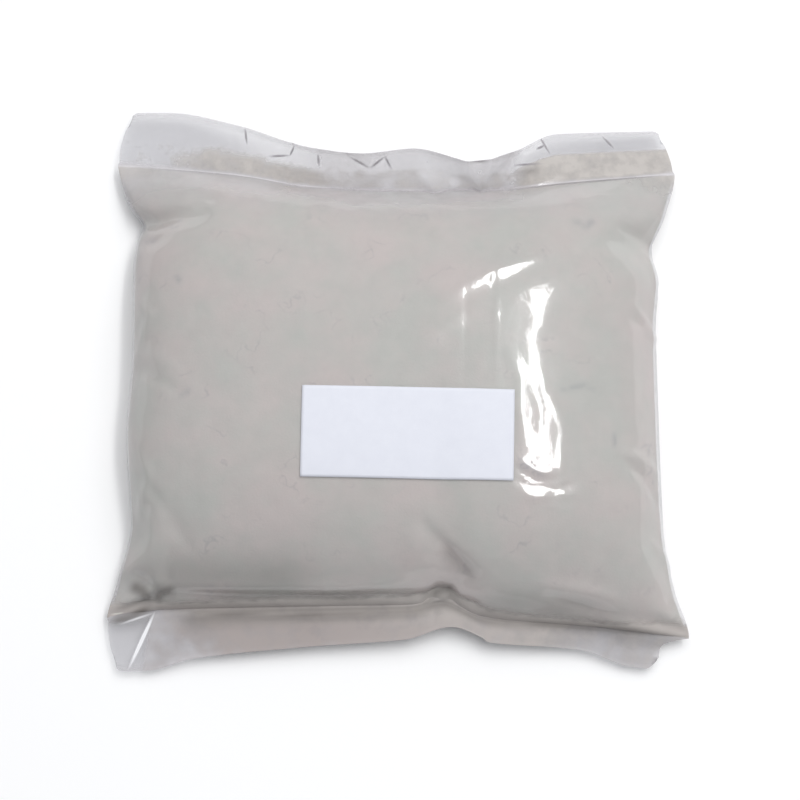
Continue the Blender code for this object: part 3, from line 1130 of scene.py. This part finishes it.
# Painted shade: below the foot, most of all at the left, the coat turns darker and pinker.
foot_range = {"Value": across_and_along["Y"], "From Min": UNSHADED_FOOT_Y * MM, "From Max": SHADED_FOOT_Y * MM}
at_foot = add(tree, "MapRange", foot_range).outputs[0]
left_range = {"Value": across_and_along["X"], "From Min": LEAST_FOOT_SHADE_X * MM, "From Max": MOST_FOOT_SHADE_X * MM}
at_left = add(tree, "MapRange", left_range | {"To Min": LEAST_FOOT_SHADE, "To Max": 1.0}).outputs[0]
foot_shade = add(tree, "Math", {0: at_foot, 1: at_left}, operation="MULTIPLY").outputs[0]
foot_shaded_tone = add(tree, "Mix", {0: foot_shade, 6: coat_tone.outputs[2], 7: paint("#AEA5A2")}, data_type="RGBA")
dusty = add(tree, "BsdfDiffuse", {"Color": foot_shaded_tone.outputs[2]})
dusted = add(tree, "MixShader", {0: thin_coat.outputs[0], 1: cloudy.outputs[0], 2: dusty.outputs[0]})

# Painted shade in the folds and along the foot, mixed over the film as a dark colour.
fold_shade = add(tree, "Attribute", attribute_name="fold_shade").outputs["Fac"]
painted_fold_shade = add(tree, "BsdfDiffuse", {"Color": paint("#77726E")})
fold_shaded = add(tree, "MixShader", {0: fold_shade, 1: dusted.outputs[0], 2: painted_fold_shade.outputs[0]})
print("with dust and dirt", len(tree.nodes), "nodes")

# %% [markdown]
# ## Film: painted shade and highlights on creases
#
# A hard crease in clear film shows as a line, where it turns the light aside. In the header, short kinks are
# drawn as thin grey lines of painted shade. Where the lower left corner was bent over, the fold is drawn as
# white lines of painted highlight. Such lines are finer than the mesh, so each is drawn by a round gradient
# that is stretched along it, a little wider than life so that it shows.

# %% Where the drawn lines run
SHADED_KINKS = (
    ((-53.6, 91.3), (-52.8, 85.3)),
    ((-37.9, 88.5), (-35.9, 82.5)),
    ((-35.9, 82.5), (-37.4, 79.9)),
    ((-37.4, 79.9), (-45.2, 80.4)),
    ((-27.5, 78.9), (-27.2, 76.0)),
    ((-22.0, 84.1), (-16.3, 77.7)),
    ((-16.3, 77.7), (-9.4, 74.6)),
    ((-9.4, 74.6), (-4.2, 78.2)),
    ((-4.2, 78.2), (-2.1, 74.8)),
    ((25.1, 75.3), (31.0, 75.5)),
    ((39.9, 75.2), (51.8, 77.9)),
    ((49.5, 88.5), (53.6, 82.1)),
    ((48.8, 82.6), (51.8, 84.8)),
    ((72.7, 89.6), (76.5, 85.1)),
)
GLINT_CREASE = ((-82.4, -78.6), (-91.0, -97.6))
FAINT_GLINT_CREASE = ((-82.4, -78.6), (-94.5, -82.6))
print(len(SHADED_KINKS), "hairlines and two white creases")

# %% Film material: painted shade of the kinks
KINK_WIDTH = 1.0
KINK_SHADE_DEPTH = 0.85


def draw_lines(tree, place, lines, width):
    """A mask that is bright along short lines, given in millimetres."""
    strongest = 0.0
    for (ax, ay), (bx, by) in lines:
        half = (np.hypot(bx - ax, by - ay) / 2 + width / 2) * MM
        stretched = {
            "Vector": place,
            "Location": ((ax + bx) / 2 * MM, (ay + by) / 2 * MM, 0),
            "Rotation": (0, 0, np.arctan2(by - ay, bx - ax)),
            "Scale": (half, width / 2 * MM, 1.0),
        }
        spot = add(tree, "Mapping", stretched, vector_type="TEXTURE")
        glow = add(tree, "TexGradient", {"Vector": spot.outputs[0]}, gradient_type="SPHERICAL")
        strongest = add(tree, "Math", {0: strongest, 1: glow.outputs["Fac"]}, operation="MAXIMUM").outputs[0]
    return strongest


# Painted shade: the kinks of the header, drawn as thin grey lines.
kink_lines = draw_lines(tree, place, SHADED_KINKS, KINK_WIDTH)
kink_shade_depth = add(tree, "Math", {0: kink_lines, 1: KINK_SHADE_DEPTH}, operation="MULTIPLY", use_clamp=True)
painted_kink_shade = add(tree, "BsdfDiffuse", {"Color": paint("#979297")})
kink_shaded = add(tree, "MixShader", {0: kink_shade_depth.outputs[0], 1: fold_shaded.outputs[0], 2: painted_kink_shade.outputs[0]})
print("with hairlines", len(tree.nodes), "nodes")

# %% Film material: painted highlights on the bent corner
GLINT_WIDTH = 1.7
FAINT_GLINT_WIDTH = 1.1
GLINT_DEPTH = 2.2
FAINT_GLINT_DEPTH = 0.7

# Painted highlight: white lines along the bent-over fold in the lower left corner.
glint = draw_lines(tree, place, [GLINT_CREASE], GLINT_WIDTH)
strong = add(tree, "Math", {0: glint, 1: GLINT_DEPTH}, operation="MULTIPLY", use_clamp=True).outputs[0]
faint = draw_lines(tree, place, [FAINT_GLINT_CREASE], FAINT_GLINT_WIDTH)
both_glints = {0: faint, 1: FAINT_GLINT_DEPTH, 2: strong}
glint_share = add(tree, "Math", both_glints, operation="MULTIPLY_ADD", use_clamp=True)
painted_highlight = add(tree, "BsdfDiffuse", {"Color": paint("#FAFAFC")})
body = add(tree, "MixShader", {0: glint_share.outputs[0], 1: kink_shaded.outputs[0], 2: painted_highlight.outputs[0]})
print("with white creases", len(tree.nodes), "nodes")

# %% [markdown]
# ## Film: gloss
#
# Film mirrors weakly where it is seen face on and strongly at a grazing angle. A Layer Weight node says how
# far the film turns from the eye, the same from its front and its back, and its fifth power is close to how
# plastic mirrors. The skin has a sharp gloss, and a softer one from fine scratches. Its shallow ripple is
# bump, and dust and haze take the shine away.

# %% Film material: gloss
RIPPLE_SIZE = 9
RIPPLE_HEIGHT = 0.6
SOFT_SHARE = 0.4
GRAZING_POWER = 5.0
GRAZING_SHINE = 0.6
FACE_ON_SHINE = 0.08
HAZE_SOILS = 0.5
CLEAN_FILM = 1.06
SHINE_LOST = 1.3

ripples = {"Vector": place, "Scale": every(RIPPLE_SIZE), "Detail": 4.5, "Roughness": 0.58}
ripple = add(tree, "TexNoise", ripples).outputs["Fac"]
relief = add(tree, "Bump", {"Height": ripple, "Strength": 0.17, "Distance": RIPPLE_HEIGHT * MM}).outputs[0]
sharp_gloss = add(tree, "BsdfGlossy", {"Roughness": 0.07, "Normal": relief, "Color": paint("#FFFFFF")})
soft_gloss = add(tree, "BsdfGlossy", {"Roughness": 0.22, "Normal": relief, "Color": paint("#FFFFFF")})
gloss = add(tree, "MixShader", {0: SOFT_SHARE, 1: sharp_gloss.outputs[0], 2: soft_gloss.outputs[0]})

facing = add(tree, "LayerWeight", {"Blend": 0.5, "Normal": relief}).outputs["Facing"]
grazing = add(tree, "Math", {0: facing, 1: GRAZING_POWER}, operation="POWER").outputs[0]
rise = {0: grazing, 1: GRAZING_SHINE, 2: FACE_ON_SHINE}
clean_shine = add(tree, "Math", rise, operation="MULTIPLY_ADD", use_clamp=True).outputs[0]
soiling = add(tree, "Math", {0: haze, 1: HAZE_SOILS, 2: dust}, operation="MULTIPLY_ADD").outputs[0]
dulled = {0: soiling, 1: -SHINE_LOST, 2: CLEAN_FILM}
kept_shine = add(tree, "Math", dulled, operation="MULTIPLY_ADD", use_clamp=True)
shine = add(tree, "Math", {0: clean_shine, 1: kept_shine.outputs[0]}, operation="MULTIPLY")
surface = add(tree, "MixShader", {0: shine.outputs[0], 1: body.outputs[0], 2: gloss.outputs[0]})
tree.links.new(surface.outputs[0], out.inputs["Surface"])
fine.materials.append(clear_film)
print(clear_film.name, "has", len(tree.nodes), "nodes")

# %% [markdown]
# ## Powder
#
# Dry cement is a matt grey dust, ground in a mill and finer than flour. Pressed against film it has no
# shine, and the eye sees no grain. What it does see is tone: the grey drifts between a greener and a pinker
# one over a few centimetres, and between lighter and darker over one.

# %% Powder material: tones
CLOUD_SIZE = 26
PACKING_SIZE = 7

dry_cement, out = new_material("dry cement powder, packed against film")
tree = dry_cement.node_tree
place = add(tree, "TexCoord").outputs["Object"]
cloud = {"Vector": place, "Scale": every(CLOUD_SIZE), "Detail": 4.0, "Roughness": 0.6}
clouds = add(tree, "TexNoise", cloud).outputs["Fac"]
patch = add(tree, "MapRange", {"Value": clouds, "From Min": 0.36, "From Max": 0.64}).outputs[0]
tone = add(tree, "Mix", {0: patch, 6: paint("#C9C9C2"), 7: paint("#D3CAC5")}, data_type="RGBA").outputs[2]

lump = {"Vector": place, "Scale": every(PACKING_SIZE), "Detail": 6.0, "Roughness": 0.7}
packing = add(tree, "TexNoise", lump).outputs
packed_range = {"Value": packing["Fac"], "From Min": 0.3, "From Max": 0.7, "To Min": 0.965, "To Max": 1.03}
shade = add(tree, "MapRange", packed_range).outputs[0]
mottled = add(tree, "VectorMath", {0: tone, "Scale": shade}, operation="SCALE").outputs[0]
print(dry_cement.name, "starts with", len(tree.nodes), "nodes")

# %% [markdown]
# ## Powder: cracks and painted shade spots
#
# Where the powder has settled it parts in short thin cracks. They are drawn where a wandering noise crosses
# its middle value, and only inside the patches of a second noise. The noise of the packing also breaks up
# the edges of the spots of painted shade, which share the cracks' dark colour.

# %% Powder material: cracks and painted shade spots
CRACK_SIZE = 11
CRACK_WANDER = 5
CRACKED_PATCH_SIZE = 13
CRACK_WIDTH = 0.014
CRACK_DEPTH = 0.3

wander = add(tree, "VectorMath", {0: packing["Color"], "Scale": CRACK_WANDER * MM}, operation="SCALE")
wavy = add(tree, "VectorMath", {0: place, 1: wander.outputs[0]}, operation="ADD").outputs[0]
contour = add(tree, "TexNoise", {"Vector": wavy, "Scale": every(CRACK_SIZE), "Detail": 2.5}).outputs["Fac"]
above_middle = add(tree, "Math", {0: contour, 1: 0.5}, operation="SUBTRACT").outputs[0]
off_line = add(tree, "Math", {0: above_middle}, operation="ABSOLUTE").outputs[0]
crack_range = {"Value": off_line, "From Min": 0.0, "From Max": CRACK_WIDTH, "To Min": 1.0, "To Max": 0.0}
crack = add(tree, "MapRange", crack_range).outputs[0]
where = add(tree, "TexNoise", {"Vector": place, "Scale": every(CRACKED_PATCH_SIZE), "Detail": 2.0})
region_range = {"From Min": 0.53, "From Max": 0.66, "To Min": 0.0, "To Max": CRACK_DEPTH}
region = add(tree, "MapRange", region_range | {"Value": where.outputs["Fac"]}).outputs[0]
cracks = add(tree, "Math", {0: crack, 1: region}, operation="MULTIPLY").outputs[0]

# The painted shade spots are mixed with the real cracks into one dark colour.
spot_shade = add(tree, "Attribute", attribute_name="spot_shade").outputs["Fac"]
ragged_range = {"Value": packing["Fac"], "From Min": 0.42, "From Max": 0.6, "To Min": 0.1, "To Max": 1.0}
ragged = add(tree, "MapRange", ragged_range).outputs[0]
shade_and_cracks = add(tree, "Math", {0: spot_shade, 1: ragged, 2: cracks}, operation="MULTIPLY_ADD", use_clamp=True)
shaded_and_cracked = add(tree, "Mix", {0: shade_and_cracks.outputs[0], 6: mottled, 7: paint("#8F9097")}, data_type="RGBA")
print("with cracks and smudges", len(tree.nodes), "nodes")

# %% [markdown]
# ## Powder: its grain
#
# Single grains of cement are far too fine to see. The grain is drawn under a millimetre coarse, which is
# about the least that still shows in the picture, as a shallow bump on a surface without shine.

# %% Powder material: grain
GRAIN_SIZE = 0.8
GRAIN_HEIGHT = 0.2

grain = add(tree, "TexNoise", {"Vector": place, "Scale": every(GRAIN_SIZE), "Detail": 3.0}).outputs["Fac"]
relief = add(tree, "Bump", {"Height": grain, "Strength": 0.35, "Distance": GRAIN_HEIGHT * MM}).outputs[0]
powdery = {"Base Color": shaded_and_cracked.outputs[2], "Roughness": 0.95, "Specular IOR Level": 0.2, "Normal": relief}
body = add(tree, "BsdfPrincipled", powdery)
tree.links.new(body.outputs[0], out.inputs["Surface"])
powder_mesh.materials.append(dry_cement)
print(dry_cement.name, "has", len(tree.nodes), "nodes")

# %% [markdown]
# ## Label paper
#
# Label stock is uncoated paper: pulp that was pressed and dried in a web. Held to the light it is cloudy,
# which printers call its formation, and close to it shows fibres. Both are faint, and the white is a little
# blue from the brightener in it. The fibres are drawn coarser than life, so that they show.

# %% Label material
FORMATION_SIZE = 5
FIBRE_SIZE = 0.7
FIBRE_HEIGHT = 0.08

label_paper, out = new_material("uncoated white label paper")
tree = label_paper.node_tree
place = add(tree, "TexCoord").outputs["Object"]
cloudiness = {"Vector": place, "Scale": every(FORMATION_SIZE), "Detail": 5.0, "Roughness": 0.65}
formation = add(tree, "TexNoise", cloudiness).outputs["Fac"]
pulp = {0: formation, 6: paint("#DFE1EA"), 7: paint("#E8EAF2")}
tone = add(tree, "Mix", pulp, data_type="RGBA").outputs[2]
fibre = {"Vector": place, "Scale": every(FIBRE_SIZE), "Detail": 6.0, "Roughness": 0.75}
fibres = add(tree, "TexNoise", fibre).outputs["Fac"]
relief = add(tree, "Bump", {"Height": fibres, "Strength": 0.3, "Distance": FIBRE_HEIGHT * MM}).outputs[0]
paper = {"Base Color": tone, "Roughness": 0.8, "Specular IOR Level": 0.3, "Normal": relief}
matt = add(tree, "BsdfPrincipled", paper)
tree.links.new(matt.outputs[0], out.inputs["Surface"])
label_mesh.materials.append(label_paper)
print(label_paper.name, "has", len(tree.nodes), "nodes")

# %% [markdown]
# ## Painted shade in the folds
#
# Shade is painted into the film as dark lines beside the creases at the foot and in the lower left corner,
# as a broad darker patch above the foot at the left, and along the band just below the bottom seal, weaker
# to the right, with a thin lighter line in it. Each line has a strength, a width and a path, and it thins
# out towards its ends. Like the dust and the haze that follow, it is worked out on the chart of the film and
# kept on the film's points, where the shader reads it. A pair of numbers is where a change starts and where
# it is complete, in millimetres.

# %% Chart the painted shade in the folds
# Painted shade: dark lines beside the creases at the foot and the lower left corner, and a broad darker
# patch above the foot at the left.
CREASE_SHADE = (
    (0.35, 1.5, ((-79, -72.8), (-53, -73.6), (-23, -73.9), (9, -72.9))),
    (0.72, 0.8, ((-82, -79.2), (-53, -79.4), (-23, -79.8), (9, -79.0))),
    (0.24, 3.6, ((22, -75), (45, -77.3), (62, -79.3), (84, -83.5))),
    (0.22, 9.0, ((-88, -60), (-80, -68), (-52, -70), (-20, -70))),
    (0.8, 1.2, ((-98.5, -81.5), (-90.7, -79.6), (-82, -76.2))),
    (0.7, 1.8, ((-82, -76.2), (-79.5, -72.5), (-74, -71.0))),
    (0.6, 2.0, ((-82, -76.2), (-86, -71.5), (-91, -69))),
    (0.35, 3.5, ((-84, -71), (-72, -72))),
    (0.5, 1.2, ((31.4, -82.1), (51.8, -82.9), (72.7, -84.3), (98, -87.5))),
    (0.5, 1.3, ((11.2, -74.5), (13.5, -71.8), (17.5, -71.3), (18.6, -74.6))),
    (0.25, 2.0, ((14, -57), (20, -62.8), (27, -69))),
    (0.25, 1.6, ((50, -74.5), (60, -76.5), (70, -79.5))),
)
TAPER_SHARE = 0.25
LEAST_TAPER = 0.1
SEAL_BAND_SHADE_DEPTH = 0.55
SEAL_BAND_SHADE_FADES = (2.0, 8.0)
SEAL_BAND_SHADE_STARTS = (-76, -68)
SEAL_BAND_SHADE_THINS = (30, 60)
SEAL_BAND_SHADE_LOSS = 0.6
LIGHTER_LINE = 0.12
LIGHTER_LINE_AT = 1.8
LIGHTER_LINE_WIDTH = 0.7

above_seal = tube_y[:, None] - FLAT_LENGTH
below_seal = -tube_y[:, None]
width_place = tube_x[None, :]
fold_shade_chart = np.zeros((fine_rows, fine_columns))
for strength, width, path in CREASE_SHADE:
    distance, progress = near_path(path, front_places[..., 0], front_places[..., 1])
    taper = np.clip(np.minimum(progress, 1 - progress) / TAPER_SHARE, LEAST_TAPER, 1)
    fold_shade_chart = np.maximum(fold_shade_chart, strength * taper * bell(distance, width))

# Painted shade along the band below the bottom seal, weaker to the right, with a thin lighter line left in
# it.
seal_band_shade = SEAL_BAND_SHADE_DEPTH * (1 - ramp(below_seal, *SEAL_BAND_SHADE_FADES))
seal_band_shade = seal_band_shade - LIGHTER_LINE * bell(below_seal - LIGHTER_LINE_AT, LIGHTER_LINE_WIDTH)
seal_band_shade = seal_band_shade * ramp(width_place, *SEAL_BAND_SHADE_STARTS)
seal_band_shade = seal_band_shade * (1 - SEAL_BAND_SHADE_LOSS * ramp(width_place, *SEAL_BAND_SHADE_THINS))
fold_shade_chart = np.maximum(fold_shade_chart, np.where(below_seal > 0, seal_band_shade, 0))
print(len(CREASE_SHADE), "lines of dirt, the darkest", round(float(fold_shade_chart.max()), 2))

# %% [markdown]
# ## Dust between the layers of the header
#
# Some cement crept between the two layers of the header while the bag was filled. It lies in two banks
# along the top seal, a long soft one at the left and a dense one with a straight edge at the right, with a
# thin veil between them.

# %% Chart the dust in the header
LEFT_BANK = 0.62
LEFT_BANK_STARTS = (-92, -62)
LEFT_BANK_ENDS = (-30, -12)
LEFT_BANK_TOP = (5, 13)
RIGHT_BANK = 0.72
RIGHT_BANK_STARTS = (34, 50)
RIGHT_BANK_TOP = (10.5, 12.5)
THIN_DUST = 0.3
THIN_DUST_LOSS = 0.14
THIN_DUST_THINS = (60, 80)
THIN_DUST_TOP = (8, 14)

left_bank = LEFT_BANK * ramp(width_place, *LEFT_BANK_STARTS) * (1 - ramp(width_place, *LEFT_BANK_ENDS))
left_bank = left_bank * (1 - ramp(above_seal, *LEFT_BANK_TOP))
right_bank = RIGHT_BANK * ramp(width_place, *RIGHT_BANK_STARTS) * (1 - ramp(above_seal, *RIGHT_BANK_TOP))
thin_dust = THIN_DUST - THIN_DUST_LOSS * ramp(-width_place, *THIN_DUST_THINS)
thin_dust = thin_dust * (1 - ramp(above_seal, *THIN_DUST_TOP))
header_dust = np.maximum(np.maximum(left_bank, right_bank), thin_dust)
print("the header is dusty up to", round(float(header_dust[above_seal[:, 0] > 0].max()), 2))

# %% [markdown]
# ## Dust in the flange and on the fill
#
# The flange is dusty all over, except for a clear triangle in its lower left corner whose edge leans with
# the fold there. Its dust comes in three layers. Each has a strength, a slanting line, and two distances
# right of that line, where the dust starts and where it is complete. Inside the bag the film is coated at
# the foot, along the side folds and in the corners.

# %% Chart the dust in the flange
CLEAR_X = -84
CLEAR_LEAN = -0.45
DUSTY_X = -82
DUSTY_LEAN = 1.1
FLANGE_LOSS = 0.6
FLANGE_THINS = (50, 74)

clear_corner = CLEAR_X + CLEAR_LEAN * below_seal
dusty_from = DUSTY_X + DUSTY_LEAN * below_seal
flange_layers = ((0.26, clear_corner, 0, 1), (0.16, dusty_from, 0, 1.5), (0.32, dusty_from, 2, 18))
flange_dust = sum(
    strength * ramp(width_place, line + start, line + full) for strength, line, start, full in flange_layers
)
flange_dust = flange_dust * (1 - FLANGE_LOSS * ramp(width_place, *FLANGE_THINS))
print("the flange is dusty up to", round(float(flange_dust[below_seal[:, 0] > 0].max()), 2))

# %% Chart the dust on the fill
FOOT_DUST = 0.95
FOOT_DUST_ENDS = (2, 9)
FOLD_DUST = 0.12
FOLD_DUST_STARTS = (92, 97)
CORNER_DUST = 0.4
CORNER_STARTS_ACROSS = (72, 92)
CORNER_STARTS_ALONG = (0.8, 0.96)
SEAL_WIDTH = 0.9

across_place = np.abs(width_place)
along_place = np.abs(2 * along[:, None] - 1)
corners = ramp(across_place, *CORNER_STARTS_ACROSS) * ramp(along_place, *CORNER_STARTS_ALONG)
body_dust = FOOT_DUST * (1 - ramp(-below_seal, *FOOT_DUST_ENDS))
body_dust = body_dust + FOLD_DUST * ramp(across_place, *FOLD_DUST_STARTS) + CORNER_DUST * corners
in_body = (tube_y[:, None] > 0) & (tube_y[:, None] < FLAT_LENGTH)
near_seal = bell(above_seal, SEAL_WIDTH)
dust_chart = np.where(in_body, body_dust, np.where(above_seal > 0, header_dust, flange_dust))
dust_chart = dust_chart * (1 - near_seal)
print(round(100 * float((dust_chart > 0.5).mean())), "% of the film is thickly coated")

# %% [markdown]
# ## Haze
#
# Film is cloudy where the sealing bars warmed it and at its cut edges. A pale lilac band of haze lies under
# the top seal, where the fill stands back from the film, and the middle of the header is hazier than its
# ends.

# %% Chart the haze of the body, the flange and the header
LEAST_HAZE = 0.1
LILAC = 0.42
LILAC_LOSS = 0.24
LILAC_THINS = (20, 70)
LILAC_ENDS = (2, 30)
FOLD_HAZE = 0.12
FOLD_HAZE_STARTS = (88, 96)
LEAST_FLANGE_HAZE = 0.14
FLANGE_HAZE = 0.3
FLANGE_HAZE_RISE = 2
FLANGE_HAZE_LOSS = 0.3
FLANGE_HAZE_THINS = (45, 70)
HEADER_HAZE = 0.25
HEADER_HAZE_STARTS = (-45, -20)
HEADER_HAZE_ENDS = (38, 46)

lilac_band = (LILAC - LILAC_LOSS * ramp(width_place, *LILAC_THINS)) * (1 - ramp(-above_seal, *LILAC_ENDS))
lilac_band = lilac_band + FOLD_HAZE * ramp(-width_place, *FOLD_HAZE_STARTS)
body_haze = LEAST_HAZE + np.where(in_body, lilac_band, 0)
flange_haze = FLANGE_HAZE * ramp(width_place, clear_corner, clear_corner + FLANGE_HAZE_RISE)
flange_haze = flange_haze * (1 - FLANGE_HAZE_LOSS * ramp(width_place, *FLANGE_HAZE_THINS))
flange_haze = LEAST_FLANGE_HAZE + flange_haze
header_haze = HEADER_HAZE * ramp(width_place, *HEADER_HAZE_STARTS)
header_haze = LEAST_HAZE + header_haze * (1 - ramp(width_place, *HEADER_HAZE_ENDS))
print("the header's haze is up to", round(float(header_haze.max()), 2))

# %% Chart the haze of the seals and the cut edges
SEAL_HAZE = 0.75
FOOT_SEAL_HAZE = 0.35
FOOT_SEAL_WIDTH = 1.0
RIM_HAZE = 0.2
RIM_WIDTH = 1.2

from_rim = np.minimum(from_mouth, from_flange_edge)[:, None]
haze_chart = np.where(above_seal > 0, header_haze, np.where(below_seal > 0, flange_haze, body_haze))
haze_chart = haze_chart + SEAL_HAZE * near_seal + FOOT_SEAL_HAZE * bell(below_seal, FOOT_SEAL_WIDTH)
haze_chart = haze_chart + RIM_HAZE * bell(from_rim, RIM_WIDTH)
print("the haze is", round(float(haze_chart.mean()), 2), "on average")

# %% [markdown]
# ## Keep the charts on the film
#
# A shader reads values that are stored on a mesh's points by their name. The same chart goes on the front
# and the back film.


# %% Store dust, haze and dirt
def store(mesh, name, values_chart):
    """Keeps a chart of values, held between 0 and 1, on a mesh that has the film's points."""
    on_points = np.zeros(len(fine.vertices))
    for side_name in chart:
        on_points[chart[side_name]] = np.clip(values_chart, 0, 1)
    mesh.attributes.new(name, "FLOAT", "POINT").data.foreach_set("value", on_points)
    print(name, "runs from", round(float(on_points.min()), 2), "to", round(float(on_points.max()), 2))


store(fine, "dust", dust_chart)
store(fine, "haze", haze_chart)
store(fine, "fold_shade", fold_shade_chart)

# %% [markdown]
# ## Tie the pieces to the frame
#
# The frame's plain solids carry the weight and the contacts. Each piece made here rides on the frame's one
# body and stands for one of those solids, which is hidden.

# %% Tie the pieces to the frame
for piece, node, slot in (
    (film, "film_bag", "film"),
    (powder, "cement_powder", "powder"),
    (label, "paper_label", "label"),
):
    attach(piece, "root")
    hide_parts(node)
print("tied:", ", ".join(piece.name for piece in (film, powder, label)))

# %% [markdown]
# ## Sizes, and the end
#
# The looks stay inside the frame's own box, apart from the little that soft film may stand proud of it.
# Both boxes are written down, so that they can be compared.

# %% Write both sizes and finish
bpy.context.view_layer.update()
film_size, frame_size = np.ptp(get_points(fine), axis=0), np.ptp(frame_bounds, axis=0)
print("the film measures", np.round(film_size / MM, 1), "mm, the frame", np.round(frame_size / MM, 1), "mm")
